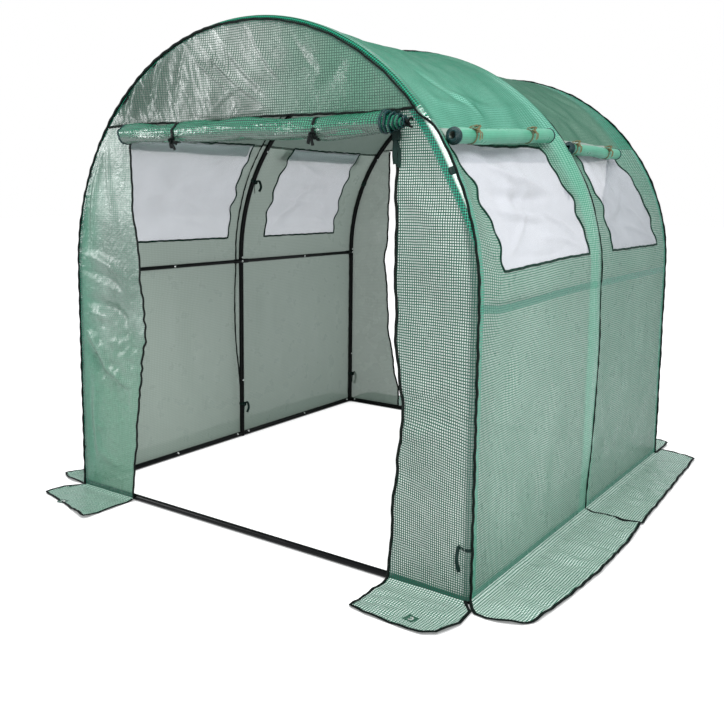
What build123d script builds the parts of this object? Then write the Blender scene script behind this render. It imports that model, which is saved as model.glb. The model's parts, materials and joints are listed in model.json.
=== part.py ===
"""Walk-in polytunnel greenhouse with roll-up doors, four roll-up mesh windows and a push-fit tube frame.

Units are millimetres. +Z is up, the front door faces -Y, and the origin is the centre of the footprint on
the ground. Three arches of steel tube stand at the front, the middle and the rear. Each arch is two feet,
two legs, two shoulder bows and a crown bow, pushed into each other by swaged ends. Base bars slip over
stubs on the feet, and side rails sit in sockets on the legs. A fabric cover lies over the arches, with
skirts on the ground, and its door flaps and window flaps are rolled up and tied.
"""

import os
from math import cos, degrees, radians, sin

from build123d import *

# Overall frame
HALF_WIDTH = 975.0  # arch centreline to the centre plane
BAY_LENGTH = 1050.0  # from one arch to the next
LEG_HEIGHT = 1000.0  # where the straight legs end and the bow begins
RAIL_HEIGHT = 980.0

# Tubes
TUBE_R = 12.5
TUBE_WALL = 1.0
RAIL_R = 9.5
RAIL_WALL = 1.0
FIT_GAP = 0.3  # radial clearance of every push fit, and between tubes and cover
SPIGOT_LENGTH = 50.0
SWAGE_LENGTH = 4.0  # where a tube narrows to its spigot
FOOT_HEIGHT = 300.0
STUB_LENGTH = 50.0
SOCKET_LENGTH = 40.0
SOCKET_WALL = 1.5
CROWN_START = 36.5  # degrees above the horizontal at which shoulder and crown meet
SEAM_GROOVE = 0.5  # width and depth of the joint line in a two-part bar

# Cover
SHEET = 2.0
SEAM_HEIGHT = 1620.0  # door seam under the end lunettes
DOOR_HALF_WIDTH = 645.0
SIDE_SKIRT_WIDTH = 245.0
SIDE_SKIRT_REACH = 75.0  # past the end arches
END_SKIRT_WIDTH = 262.0
SKIRT_CORNER = 55.0  # clipped off the free corners
SKIRT_SPLIT = 1.0  # between the skirts of two bays
PIPING_WIDTH = 3.0
PIPING_HEIGHT = 12.0
FLAP_SEAM_ARC = 628.0  # up the curve from the leg's top to the flap seam

# Windows, measured along the curve from the leg's top, and in from the arches
WINDOW_LOW_ARC = 110.0
WINDOW_HIGH_ARC = 573.0
WINDOW_FRONT_MARGIN = {"front": 130.0, "rear": 165.0}
WINDOW_REAR_MARGIN = {"front": 110.0, "rear": 170.0}
MESH_LAP = 12.0
BINDING_WIDTH = 10.0

# Rolled flaps
ROLL_SHEET = 1.5
WINDOW_ROLL_R = 31.0
WINDOW_ROLL_TURNS = 3
WINDOW_ROLL_PITCH = 5.0
WINDOW_ROLL_ARC = 588.0
WINDOW_ROLL_OVERHANG = 45.0
WINDOW_ROLL_TAIL = 38.0
DOOR_ROLL_R = 42.0
DOOR_ROLL_TURNS = 6
DOOR_ROLL_PITCH = 5.0
DOOR_ROLL_DROP = 45.0  # roll centre below the door seam
DOOR_ROLL_OVERHANG = 30.0
DOOR_ROLL_TAIL = 55.0

# Ties round the rolls
TIE_THICKNESS = 1.5
WINDOW_TIE_WIDTH = 8.0
DOOR_TIE_WIDTH = 16.0
KNOT_SIZE = 9.0

# Peg eyelets in the end skirts
EYELET_R = 5.0
EYELET_WALL = 1.5
EYELET_FLANGE_R = 10.0
EYELET_FLANGE = 1.2
EYELET_X = 885.0
EYELET_REACH = 195.0  # out from the end panel

ARCH_Y = {"front": -BAY_LENGTH, "middle": 0.0, "rear": BAY_LENGTH}
BAY_CENTRE = {"front": -BAY_LENGTH / 2, "rear": BAY_LENGTH / 2}
BORE_R = TUBE_R - TUBE_WALL
SPIGOT_R = BORE_R - FIT_GAP
SPIGOT_BORE_R = SPIGOT_R - TUBE_WALL
SOCKET_BORE_R = RAIL_R + FIT_GAP
SOCKET_R = SOCKET_BORE_R + SOCKET_WALL
COVER_INNER_R = HALF_WIDTH + TUBE_R + FIT_GAP
COVER_R = COVER_INNER_R + SHEET
END_INNER_Y = BAY_LENGTH + TUBE_R + FIT_GAP  # inner face of the end sheets
END_Y = END_INNER_Y + SHEET
FLAP_SEAM_ANGLE = degrees(FLAP_SEAM_ARC / COVER_R)


def rod(radius, start, end):
    """A solid cylinder from one point to another."""
    axis = Vector(*end) - Vector(*start)
    return Solid.make_cylinder(radius, axis.length, Plane(origin=start, z_dir=axis))


def arc_rod(radius, y, start_angle, end_angle):
    """A solid bar of round section along the arch's bow, between two angles above the +X side."""
    at = radians(start_angle)
    centre = (HALF_WIDTH * cos(at), y, LEG_HEIGHT + HALF_WIDTH * sin(at))
    section = Plane(origin=centre, x_dir=(0, 1, 0), z_dir=(-sin(at), 0, cos(at))) * Circle(radius)
    return revolve(section, Axis((0, y, LEG_HEIGHT), (0, -1, 0)), end_angle - start_angle)


def group(shapes):
    """Separate solids as one shape."""
    return Compound(children=[solid for shape in shapes for solid in shape.solids()])


def both_sides(shape):
    """The shape and its mirror image across the centre plane."""
    return group([shape, mirror(shape, Plane.YZ)])


def both_ends(shape):
    """The shape and its mirror image across the middle arch."""
    return group([shape, mirror(shape, Plane.XZ)])


def neighbours(name):
    """The directions along Y in which an arch has another one beside it."""
    return {"front": [1], "middle": [-1, 1], "rear": [-1]}[name]


# Frame


def foot(name):
    """The lowest tube of the left leg's side at +X, with stubs for the base bars that meet it."""
    y = ARCH_Y[name]
    base = (HALF_WIDTH, y, 0)
    solid = rod(TUBE_R, base, (HALF_WIDTH, y, FOOT_HEIGHT))
    reach = TUBE_R + STUB_LENGTH
    ends = [(HALF_WIDTH, y + way * reach, TUBE_R) for way in neighbours(name)]
    if name != "middle":
        ends.append((HALF_WIDTH - reach, y, TUBE_R))
    centre = Vector(HALF_WIDTH, y, TUBE_R)
    for end in ends:
        solid += rod(SPIGOT_R, tuple(centre), end)
    solid -= rod(BORE_R, base, (HALF_WIDTH, y, FOOT_HEIGHT))
    for end in ends:
        direction = (Vector(*end) - centre).normalized()
        solid -= rod(SPIGOT_BORE_R, tuple(centre + direction * TUBE_R), end)
    return solid


def leg(name):
    """The straight tube between foot and bow, with a spigot below and sockets for the side rails."""
    y = ARCH_Y[name]

    def at(z):
        return (HALF_WIDTH, y, z)

    solid = rod(TUBE_R, at(FOOT_HEIGHT), at(LEG_HEIGHT))
    solid += rod(SPIGOT_R, at(FOOT_HEIGHT - SPIGOT_LENGTH), at(FOOT_HEIGHT))
    for way in neighbours(name):
        mouth = (HALF_WIDTH, y + way * (TUBE_R + SOCKET_LENGTH), RAIL_HEIGHT)
        solid += rod(SOCKET_R, at(RAIL_HEIGHT), mouth)
        solid -= rod(SOCKET_BORE_R, (HALF_WIDTH, y + way * TUBE_R, RAIL_HEIGHT), mouth)
    solid -= rod(BORE_R, at(FOOT_HEIGHT + SWAGE_LENGTH), at(LEG_HEIGHT))
    solid -= rod(SPIGOT_BORE_R, at(FOOT_HEIGHT - SPIGOT_LENGTH), at(FOOT_HEIGHT + SWAGE_LENGTH))
    return solid


def shoulder_bow(name):
    """The bent tube from the leg's top to the crown, with a straight spigot into the leg."""
    y = ARCH_Y[name]
    swage_angle = degrees(SWAGE_LENGTH / HALF_WIDTH)
    low, top = (HALF_WIDTH, y, LEG_HEIGHT - SPIGOT_LENGTH), (HALF_WIDTH, y, LEG_HEIGHT)
    solid = arc_rod(TUBE_R, y, 0, CROWN_START) + rod(SPIGOT_R, low, top)
    solid -= arc_rod(BORE_R, y, swage_angle, CROWN_START)
    solid -= arc_rod(SPIGOT_BORE_R, y, 0, swage_angle)
    solid -= rod(SPIGOT_BORE_R, low, top)
    return solid


def crown_bow(name):
    """The bent tube over the top, with a curved spigot at each end."""
    y = ARCH_Y[name]
    start, end = CROWN_START, 180 - CROWN_START
    spigot = degrees(SPIGOT_LENGTH / HALF_WIDTH)
    swage = degrees(SWAGE_LENGTH / HALF_WIDTH)
    solid = arc_rod(TUBE_R, y, start, end) + arc_rod(SPIGOT_R, y, start - spigot, end + spigot)
    solid -= arc_rod(BORE_R, y, start + swage, end - swage)
    solid -= arc_rod(SPIGOT_BORE_R, y, start - spigot, end + spigot)
    return solid


def bar(radius, wall, start, end):
    """A straight tube with a joint line round its middle."""
    solid = rod(radius, start, end) - rod(radius - wall, start, end)
    middle = (Vector(*start) + Vector(*end)) / 2
    along = (Vector(*end) - Vector(*start)).normalized() * (SEAM_GROOVE / 2)
    groove = rod(radius, tuple(middle - along), tuple(middle + along))
    groove -= rod(radius - SEAM_GROOVE, tuple(middle - along), tuple(middle + along))
    return solid - groove


def side_bars(radius, wall, height, end_gap):
    """The bars of one side, one in each bay, at +X."""
    bars = []
    for centre in BAY_CENTRE.values():
        half = BAY_LENGTH / 2 - end_gap
        ends = [(HALF_WIDTH, centre + way * half, height) for way in (-1, 1)]
        bars.append(bar(radius, wall, *ends))
    return group(bars)


def cross_bar(y):
    """The base bar under a doorway."""
    reach = HALF_WIDTH - TUBE_R - FIT_GAP
    return bar(TUBE_R, TUBE_WALL, (-reach, y, TUBE_R), (reach, y, TUBE_R))


# Cover


def extruded(face, low, high):
    """A face drawn in X and Z, made solid between two places along Y."""
    return extrude(Plane.XZ.offset(-high) * face, high - low)


def arch_face(radius):
    """The outline of the tunnel's section at a distance from its centre line, standing on the ground."""
    disc = Pos(0, LEG_HEIGHT) * Circle(radius)
    block = Pos(0, LEG_HEIGHT / 2) * Rectangle(2 * radius, LEG_HEIGHT)
    above = Pos(0, LEG_HEIGHT + radius) * Rectangle(2 * radius, 2 * radius)
    return (disc & above) + block


def sector(inner, outer, low_angle, high_angle):
    """Part of a ring about the bow's centre, between two angles above +X."""
    far = 2 * outer
    low, high = radians(low_angle), radians(high_angle)
    middle = (low + high) / 2
    corners = [(0, 0)]
    corners += [(far * cos(a), far * sin(a)) for a in (low, middle, high)]
    wedge = make_face(Polyline(*corners, close=True))
    ring = (Circle(outer) - Circle(inner)) & wedge
    return Pos(0, LEG_HEIGHT) * ring


def arc_angle(arc):
    """The angle at which a length along the cover, from the leg's top, ends."""
    return degrees(arc / COVER_R)


def window_span(bay):
    """Where a bay's window starts and ends along Y."""
    low = BAY_CENTRE[bay] - BAY_LENGTH / 2 + WINDOW_FRONT_MARGIN[bay]
    high = BAY_CENTRE[bay] + BAY_LENGTH / 2 - WINDOW_REAR_MARGIN[bay]
    return low, high


def bay_span(bay):
    """Where a bay's roof and wall sheets start and end along Y: the ends meet the end sheets."""
    return (-END_INNER_Y, 0.0) if bay == "front" else (0.0, END_INNER_Y)


def roof_sheet(bay):
    """The cover over the crown of one bay, between the flap seams."""
    low, high = bay_span(bay)
    face = sector(COVER_INNER_R, COVER_R, FLAP_SEAM_ANGLE, 180 - FLAP_SEAM_ANGLE)
    return extruded(face, low, high)


def wall_sheet(bay):
    """One bay's side at +X: the wall and the curve up to the flap seam, with the window cut out."""
    low, high = bay_span(bay)
    wall = Pos((COVER_INNER_R + COVER_R) / 2, LEG_HEIGHT / 2) * Rectangle(SHEET, LEG_HEIGHT)
    curve = sector(COVER_INNER_R, COVER_R, 0, FLAP_SEAM_ANGLE)
    hole = sector(
        COVER_INNER_R - SHEET, COVER_R + SHEET, arc_angle(WINDOW_LOW_ARC), arc_angle(WINDOW_HIGH_ARC)
    )
    return extruded(wall + curve, low, high) - extruded(hole, *window_span(bay))


def side_skirt(bay):
    """The strip on the ground along one bay at +X, with its far outer corner clipped."""
    way = -1 if bay == "front" else 1
    near = way * SKIRT_SPLIT / 2
    far = way * (BAY_LENGTH + TUBE_R + SIDE_SKIRT_REACH)
    edge = COVER_R + SIDE_SKIRT_WIDTH
    clipped = [(edge, far - way * SKIRT_CORNER), (edge - SKIRT_CORNER, far)]
    outline = Polyline((COVER_R, near), (edge, near), *clipped, (COVER_R, far), close=True)
    return extrude(make_face(outline), SHEET, dir=(0, 0, 1))


def window_mesh(bay):
    """The insect mesh behind a window's edge, lapping it all round."""
    low, high = window_span(bay)
    face = sector(
        COVER_INNER_R - FIT_GAP - SHEET,
        COVER_INNER_R - FIT_GAP,
        arc_angle(WINDOW_LOW_ARC - MESH_LAP),
        arc_angle(WINDOW_HIGH_ARC + MESH_LAP),
    )
    return extruded(face, low - MESH_LAP, high + MESH_LAP)


def window_binding(bay):
    """The tape round a window's edge, outside the cover. Its top runs under the rolled flap."""
    low, high = window_span(bay)
    inner = COVER_R + FIT_GAP
    angles = (arc_angle(WINDOW_LOW_ARC), arc_angle(WINDOW_HIGH_ARC - 2 * WINDOW_ROLL_R))
    tape = arc_angle(BINDING_WIDTH)
    outer = sector(inner, inner + SHEET, angles[0] - tape, angles[1])
    hole = sector(inner - SHEET, inner + 2 * SHEET, angles[0], angles[1] + tape)
    return extruded(outer, low - BINDING_WIDTH, high + BINDING_WIDTH) - extruded(hole, low, high)


def end_sheet():
    """The whole front sheet with its door cut out below the seam."""
    sheet = extruded(arch_face(COVER_R), -END_Y, -END_INNER_Y)
    door = Box(2 * DOOR_HALF_WIDTH, 4 * SHEET, 2 * SEAM_HEIGHT)
    return sheet - Pos(0, -END_Y, 0) * door


def lunette():
    """The half-round end of the cover above the door seam."""
    above = Pos(0, -END_Y, SEAM_HEIGHT + HALF_WIDTH) * Box(3 * HALF_WIDTH, 4 * SHEET, 2 * HALF_WIDTH)
    return end_sheet() & above


def end_panel():
    """The strip of end sheet beside the door at +X."""
    width = 2 * HALF_WIDTH
    below = Pos(width / 2, -END_Y, SEAM_HEIGHT / 2) * Box(width, 4 * SHEET, SEAM_HEIGHT)
    return end_sheet() & below


def end_skirt():
    """The strip on the ground in front of the panel at +X, with the hole for a peg eyelet."""
    edge = -END_Y - END_SKIRT_WIDTH
    outline = Polyline(
        (DOOR_HALF_WIDTH, -END_Y),
        (COVER_R, -END_Y),
        (COVER_R, edge + SKIRT_CORNER),
        (COVER_R - SKIRT_CORNER, edge),
        (DOOR_HALF_WIDTH, edge),
        close=True,
    )
    skirt = extrude(make_face(outline), SHEET, dir=(0, 0, 1))
    return skirt - rod(EYELET_R + EYELET_WALL + FIT_GAP, eyelet_point(-SHEET), eyelet_point(2 * SHEET))


def eyelet_point(z):
    """A point on the axis of the front eyelet at +X."""
    return (EYELET_X, -END_Y - EYELET_REACH, z)


def eyelet():
    """A metal eyelet: a barrel through the skirt and a flange on top of it."""
    low_flange = SHEET + FIT_GAP
    top = low_flange + EYELET_FLANGE
    solid = rod(EYELET_R + EYELET_WALL, eyelet_point(0), eyelet_point(top))
    solid += rod(EYELET_FLANGE_R, eyelet_point(low_flange), eyelet_point(top))
    return solid - rod(EYELET_R, eyelet_point(0), eyelet_point(top))


def piping(y):
    """The tape that stands on a seam over an arch."""
    inner = COVER_R + FIT_GAP
    face = arch_face(inner + PIPING_HEIGHT) - arch_face(inner)
    clear_of_skirt = Pos(0, 2 * SHEET) * Rectangle(4 * HALF_WIDTH, 2 * (SHEET + FIT_GAP))
    raised = face - Pos(0, -2 * SHEET) * clear_of_skirt
    return extruded(raised, y - PIPING_WIDTH / 2, y + PIPING_WIDTH / 2)


# Rolled flaps and ties, drawn in a section whose X points out of the cover and Y up along it


def roll_section(radius, turns, pitch, tail):
    """A sheet that hangs down the cover and is rolled up into a spiral of half circles."""
    step = pitch / 2
    outer_edges, inner_edges = [], []
    left = FIT_GAP
    right = left + 2 * radius
    size = radius
    for half_turn in range(2 * turns):
        downward = half_turn % 2 == 0
        centre = left + size if downward else right - size
        way = -1 if downward else 1
        for edges, r in ((outer_edges, size), (inner_edges, size - ROLL_SHEET)):
            ends = [(centre - r, 0), (centre, way * r), (centre + r, 0)]
            edges.append(ThreePointArc(*(ends if downward else ends[::-1])))
        if downward:
            right = centre + size
        else:
            left = centre - size
        size -= step
    first, last = outer_edges[0] @ 0, outer_edges[-1] @ 1
    inner_first, inner_last = inner_edges[0] @ 0, inner_edges[-1] @ 1
    rise = Vector(0, tail)
    edges = [Line(first + rise, first), *outer_edges, Line(last, inner_last), *inner_edges[::-1]]
    edges += [Line(inner_first, inner_first + rise), Line(inner_first + rise, first + rise)]
    return make_face(Curve() + edges)


def tie_section(radius):
    """A ribbon round a roll, open where the roll lies on the cover, and a knot on its outer side."""
    inner = radius + FIT_GAP
    ring = Pos(FIT_GAP + radius, 0) * (Circle(inner + TIE_THICKNESS) - Circle(inner))
    tall = 4 * radius
    flap_side = 2 * FIT_GAP + ROLL_SHEET
    ring -= Pos(FIT_GAP - tall / 2, 0) * Rectangle(tall, tall)
    ring -= Pos(flap_side - tall / 2, tall / 2) * Rectangle(tall, tall)
    knot = Pos(FIT_GAP + 2 * radius + TIE_THICKNESS + KNOT_SIZE / 3, 0) * RectangleRounded(
        KNOT_SIZE, KNOT_SIZE, KNOT_SIZE / 4
    )
    knot -= Pos(FIT_GAP + radius, 0) * Circle(inner)
    return ring + knot


def on_window(y):
    """The section plane of a window roll at +X, with its normal along -Y."""
    angle = radians(arc_angle(WINDOW_ROLL_ARC))
    outward = (cos(angle), 0, sin(angle))
    origin = (COVER_R * cos(angle), y, LEG_HEIGHT + COVER_R * sin(angle))
    return Plane(origin=origin, x_dir=outward, z_dir=(0, -1, 0))


def on_door(x):
    """The section plane of the front door's roll, with its normal along -X."""
    return Plane(origin=(x, -END_Y, SEAM_HEIGHT - DOOR_ROLL_DROP), x_dir=(0, -1, 0), z_dir=(-1, 0, 0))


def window_roll(bay):
    low, high = window_span(bay)
    section = roll_section(WINDOW_ROLL_R, WINDOW_ROLL_TURNS, WINDOW_ROLL_PITCH, WINDOW_ROLL_TAIL)
    length = high - low + 2 * WINDOW_ROLL_OVERHANG
    return extrude(on_window(high + WINDOW_ROLL_OVERHANG) * section, length)


def window_ties(bay):
    low, high = window_span(bay)
    section = tie_section(WINDOW_ROLL_R)
    places = [low + (high - low) * share for share in (0.25, 0.8)]
    planes = [on_window(y + WINDOW_TIE_WIDTH / 2) for y in places]
    return group([extrude(plane * section, WINDOW_TIE_WIDTH) for plane in planes])


def door_roll():
    reach = DOOR_HALF_WIDTH + DOOR_ROLL_OVERHANG
    section = roll_section(DOOR_ROLL_R, DOOR_ROLL_TURNS, DOOR_ROLL_PITCH, DOOR_ROLL_TAIL)
    return extrude(on_door(reach) * section, 2 * reach)


def door_ties():
    section = tie_section(DOOR_ROLL_R)
    places = [-DOOR_HALF_WIDTH / 2, DOOR_HALF_WIDTH / 2]
    planes = [on_door(x + DOOR_TIE_WIDTH / 2) for x in places]
    return group([extrude(plane * section, DOOR_TIE_WIDTH) for plane in planes])


def from_both_bays(make):
    """What a window function makes in the front and the rear bay."""
    return group([make(bay) for bay in BAY_CENTRE])


def build():
    """Every node of the greenhouse, by name."""
    nodes = {}
    for name in ARCH_Y:
        nodes[f"{name}_feet"] = both_sides(foot(name))
        nodes[f"{name}_legs"] = both_sides(leg(name))
        nodes[f"{name}_shoulder_bows"] = both_sides(shoulder_bow(name))
        nodes[f"{name}_crown_bow"] = crown_bow(name)

    sides = {"right": lambda shape: shape, "left": lambda shape: mirror(shape, Plane.YZ)}
    ends = {"front": lambda shape: shape, "rear": lambda shape: mirror(shape, Plane.XZ)}
    for side, place in sides.items():
        nodes[f"{side}_base_bars"] = place(side_bars(TUBE_R, TUBE_WALL, TUBE_R, TUBE_R + FIT_GAP))
        nodes[f"{side}_rails"] = place(side_bars(RAIL_R, RAIL_WALL, RAIL_HEIGHT, TUBE_R + FIT_GAP))
        nodes[f"{side}_window_meshes"] = place(from_both_bays(window_mesh))
        nodes[f"{side}_window_rolls"] = place(from_both_bays(window_roll))
        nodes[f"{side}_skirts"] = place(from_both_bays(side_skirt))
        for bay in BAY_CENTRE:
            nodes[f"{side}_wall_{bay}_bay"] = place(wall_sheet(bay))
        for end, turn in ends.items():
            nodes[f"{end}_{side}_panel"] = turn(place(end_panel()))

    for bay in BAY_CENTRE:
        nodes[f"roof_{bay}_bay"] = roof_sheet(bay)
    for end, turn in ends.items():
        nodes[f"{end}_base_bar"] = turn(cross_bar(-BAY_LENGTH))
        nodes[f"{end}_lunette"] = turn(lunette())
        nodes[f"{end}_skirts"] = turn(both_sides(end_skirt()))
        nodes[f"{end}_door_roll"] = turn(door_roll())
        nodes[f"{end}_door_ribbons"] = turn(door_ties())

    piping_y = {"front": -END_INNER_Y - SHEET / 2, "middle": 0.0, "rear": END_INNER_Y + SHEET / 2}
    for name, y in piping_y.items():
        nodes[f"{name}_arch_piping"] = piping(y)
    nodes["window_bindings"] = both_sides(from_both_bays(window_binding))
    nodes["window_ties"] = both_sides(from_both_bays(window_ties))
    nodes["peg_eyelets"] = both_ends(both_sides(eyelet()))
    return nodes


os.makedirs("parts", exist_ok=True)
for node_name, node_shape in build().items():
    export_step(node_shape, f"parts/{node_name}.step")
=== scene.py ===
"""Looks of the walk-in polytunnel: film cover, mesh windows, rolled flaps, tapes, ties and tube hardware.

Metres, in the frame of the CAD row: +Z up, the front door faces -Y, the origin on the ground in the middle.
The tube frame and the eyelets are shown from the CAD. Film, mesh, rolls, tapes and ties are modelled here.
"""

import json
import math

import bpy
import numpy as np
from mathutils import Matrix, Vector


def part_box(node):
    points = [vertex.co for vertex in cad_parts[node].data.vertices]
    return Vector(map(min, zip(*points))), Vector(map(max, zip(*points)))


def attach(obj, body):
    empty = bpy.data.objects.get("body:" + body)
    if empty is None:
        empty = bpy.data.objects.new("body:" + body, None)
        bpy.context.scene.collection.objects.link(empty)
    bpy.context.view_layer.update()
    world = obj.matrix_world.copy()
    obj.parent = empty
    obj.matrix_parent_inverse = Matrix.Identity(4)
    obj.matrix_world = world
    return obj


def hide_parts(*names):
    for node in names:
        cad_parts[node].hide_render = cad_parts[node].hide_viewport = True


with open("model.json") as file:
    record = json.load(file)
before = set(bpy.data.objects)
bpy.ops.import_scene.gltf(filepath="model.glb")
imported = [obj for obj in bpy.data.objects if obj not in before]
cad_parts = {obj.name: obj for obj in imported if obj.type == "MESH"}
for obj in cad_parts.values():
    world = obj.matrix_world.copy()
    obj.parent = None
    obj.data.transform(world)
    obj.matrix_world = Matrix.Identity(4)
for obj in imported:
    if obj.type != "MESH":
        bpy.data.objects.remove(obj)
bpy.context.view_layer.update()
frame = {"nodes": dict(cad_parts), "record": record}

# Sizes read from the frame
TUBE_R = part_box("front_base_bar")[1].z / 2
ARCH_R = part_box("middle_crown_bow")[1].z - TUBE_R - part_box("middle_legs")[1].z
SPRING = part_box("middle_legs")[1].z
ARCH_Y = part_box("rear_base_bar")[1].y - TUBE_R
RAIL_Z = (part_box("left_rails")[0].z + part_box("left_rails")[1].z) / 2
SEAM_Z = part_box("front_lunette")[0].z
FLAP_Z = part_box("roof_front_bay")[0].z
DOOR_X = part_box("front_right_panel")[0].x
END_Y = -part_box("front_lunette")[0].y
SIDES = {"right": 1, "left": -1}
ENDS = {"front": -1, "rear": 1}

FILM_GAP = 0.0014  # film to tube
WRAP_R = TUBE_R + FILM_GAP  # film round a tube
COVER_R = ARCH_R + TUBE_R + FILM_GAP
GIRTH = COVER_R * math.pi / 2 + SPRING  # from crown to ground along the cover
FLAP_S = SPRING + COVER_R * math.asin((FLAP_Z - SPRING) / COVER_R)  # flap seam, up from the ground
SEAM_PAST_MIDDLE = 0.021  # the middle seam lies beside its arch
FOOT_S = 0.011  # where wall and skirt meet
BAY = ARCH_Y

# Window opening: from and to along the tunnel in each bay, and up along the cover
WINDOW_SPAN = {-1: (-0.90, -0.10), 1: (0.20, 0.865)}
WINDOW_S = {1: (SPRING + 0.110, SPRING + 0.573), -1: (SPRING + 0.110, SPRING + 0.640)}


# ---------------------------------------------------------------- numbers and curves


def smooth(x, low, high):
    """0 below low, 1 above high, and a smooth step between."""
    t = np.clip((x - low) / (high - low), 0, 1)
    return t * t * (3 - 2 * t)


def bump(x, centre, width):
    """A bell of height 1."""
    return np.exp(-(((x - centre) / width) ** 2))


def profile(x, knots):
    """A smooth curve through (place, value) pairs."""
    places, values = zip(*knots)
    x = np.clip(x, places[0], places[-1])
    slot = np.clip(np.searchsorted(places, x, side="right") - 1, 0, len(places) - 2)
    places, values = np.array(places), np.array(values)
    t = (x - places[slot]) / (places[slot + 1] - places[slot])
    t = t * t * (3 - 2 * t)
    return values[slot] + (values[slot + 1] - values[slot]) * t


def waves(u, v, seed, size, count=9):
    """Smooth noise of about unit height on a plane; size is the length of its waves."""
    draw = np.random.default_rng(seed)
    total = 0
    for _ in range(count):
        angle = draw.uniform(0, 2 * math.pi)
        k = 2 * math.pi / (size * draw.uniform(0.6, 1.7))
        phase = draw.uniform(0, 2 * math.pi)
        total = total + np.sin(k * (u * math.cos(angle) + v * math.sin(angle)) + phase)
    return total / math.sqrt(count)


def folds(u, v, lines):
    """Long creases: each line is (u0, v0, u1, v1, width, height) and tapers to its ends."""
    total = np.zeros(np.broadcast(u, v).shape)
    for u0, v0, u1, v1, width, height in lines:
        du, dv = u1 - u0, v1 - v0
        length = math.hypot(du, dv)
        along = ((u - u0) * du + (v - v0) * dv) / length**2
        bend = 0.06 * length * np.sin(math.pi * along)
        across = ((u - u0) * dv - (v - v0) * du) / length - bend
        taper = np.sin(math.pi * np.clip(along, 0, 1)) ** 0.7
        total = total + height * taper * np.exp(-((across / width) ** 2))
    return total


# ---------------------------------------------------------------- mesh makers


def finish_piece(obj, material, replaces=()):
    obj.data.materials.append(material)
    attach(obj, "root")
    if replaces:
        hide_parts(*replaces)
    return obj


def mesh_object(name, points, faces, uv=None):
    mesh = bpy.data.meshes.new(name)
    mesh.from_pydata(np.asarray(points, float).tolist(), [], [list(map(int, f)) for f in faces])
    if uv is not None:
        layer = mesh.uv_layers.new(name="UVMap")
        corners = np.empty(len(mesh.loops), dtype=np.int32)
        mesh.loops.foreach_get("vertex_index", corners)
        layer.data.foreach_set("uv", np.asarray(uv, float)[corners].ravel())
    mesh.polygons.foreach_set("use_smooth", [True] * len(mesh.polygons))
    mesh.update()
    obj = bpy.data.objects.new(name, mesh)
    bpy.context.scene.collection.objects.link(obj)
    return obj


def grid_faces(rows, columns, wrap=False):
    """Quads over a grid of points; with wrap the last column joins the first."""
    index = np.arange(rows * columns).reshape(rows, columns)
    if wrap:
        index = np.concatenate([index, index[:, :1]], axis=1)
    quads = [index[:-1, :-1], index[1:, :-1], index[1:, 1:], index[:-1, 1:]]
    return np.stack(quads, -1).reshape(-1, 4)


def sheet_grid(name, u, v, place, hole=None, uv=None, flip=False):
    """A sheet over the grid u by v: place(U, V) gives its points and hole(U, V) the quads to leave out."""
    U, V = np.meshgrid(np.asarray(u), np.asarray(v), indexing="ij")
    points = np.stack(np.broadcast_arrays(*place(U, V)), -1).reshape(-1, 3)
    coords = np.stack(uv(U, V) if uv else (U, V), -1).reshape(-1, 2)
    faces = grid_faces(*U.shape)
    if hole is not None:
        centre_u = U.ravel()[faces].mean(1)
        centre_v = V.ravel()[faces].mean(1)
        faces = faces[~hole(centre_u, centre_v)]
    used, faces = np.unique(faces, return_inverse=True)
    faces = faces.reshape(-1, 4)
    if flip:
        faces = faces[:, ::-1]
    return mesh_object(name, points[used], faces, coords[used])


def steps(*stops, size=0.012):
    """Places from the first stop to the last, at most size apart, with every stop among them."""
    places = [stops[0]]
    for a, b in zip(stops, stops[1:]):
        count = max(1, math.ceil(abs(b - a) / size))
        places += list(np.linspace(a, b, count + 1)[1:])
    return np.array(places)


def path_frames(path, first_normal):
    """Tangents of a path, and normals that turn as little as they can along it."""
    path = np.asarray(path, float)
    tangents = np.gradient(path, axis=0)
    tangents /= np.linalg.norm(tangents, axis=1, keepdims=True)
    normals = np.empty_like(path)
    normal = np.asarray(first_normal, float)
    for i, tangent in enumerate(tangents):
        normal = normal - tangent * normal.dot(tangent)
        normal /= np.linalg.norm(normal)
        normals[i] = normal
    return tangents, normals


def sweep_parts(path, section, first_normal, scale=None, normals=None):
    """Points, faces and UVs of a section carried along a path, closed at both ends."""
    path = np.asarray(path, float)
    tangents, turned = path_frames(path, first_normal)
    if normals is not None:
        turned = normals - tangents * (normals * tangents).sum(1, keepdims=True)
        turned /= np.linalg.norm(turned, axis=1, keepdims=True)
    side = np.cross(tangents, turned)
    section = np.asarray(section, float)
    scale = np.ones(len(path)) if scale is None else scale
    sized = section[None] * scale[:, None, None]
    rings = path[:, None] + turned[:, None] * sized[:, :, 0:1] + side[:, None] * sized[:, :, 1:2]
    count = len(section)
    faces = [tuple(f) for f in grid_faces(len(path), count, wrap=True)[:, ::-1]]
    faces.append(tuple(range(count)))
    last = (len(path) - 1) * count
    faces.append(tuple(range(last + count - 1, last - 1, -1)))
    along = np.concatenate([[0], np.cumsum(np.linalg.norm(np.diff(path, axis=0), axis=1))])
    around = np.linspace(0, 1, count, endpoint=False) * 0.02
    uv = np.stack(np.meshgrid(along, around, indexing="ij"), -1).reshape(-1, 2)
    return rings.reshape(-1, 3), faces, uv


def joined(name, parts, material, replaces=()):
    """One finished piece from several (points, faces, uv)."""
    points, faces, uvs, start = [], [], [], 0
    for p, f, t in parts:
        points.append(p)
        faces += [tuple(i + start for i in face) for face in f]
        uvs.append(t)
        start += len(p)
    obj = mesh_object(name, np.concatenate(points), faces, np.concatenate(uvs))
    finish_piece(obj, material, replaces)


def oval(across, thick, count=10):
    a = np.linspace(0, 2 * math.pi, count, endpoint=False)
    return np.stack([thick / 2 * np.cos(a), across / 2 * np.sin(a)], -1)


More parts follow.
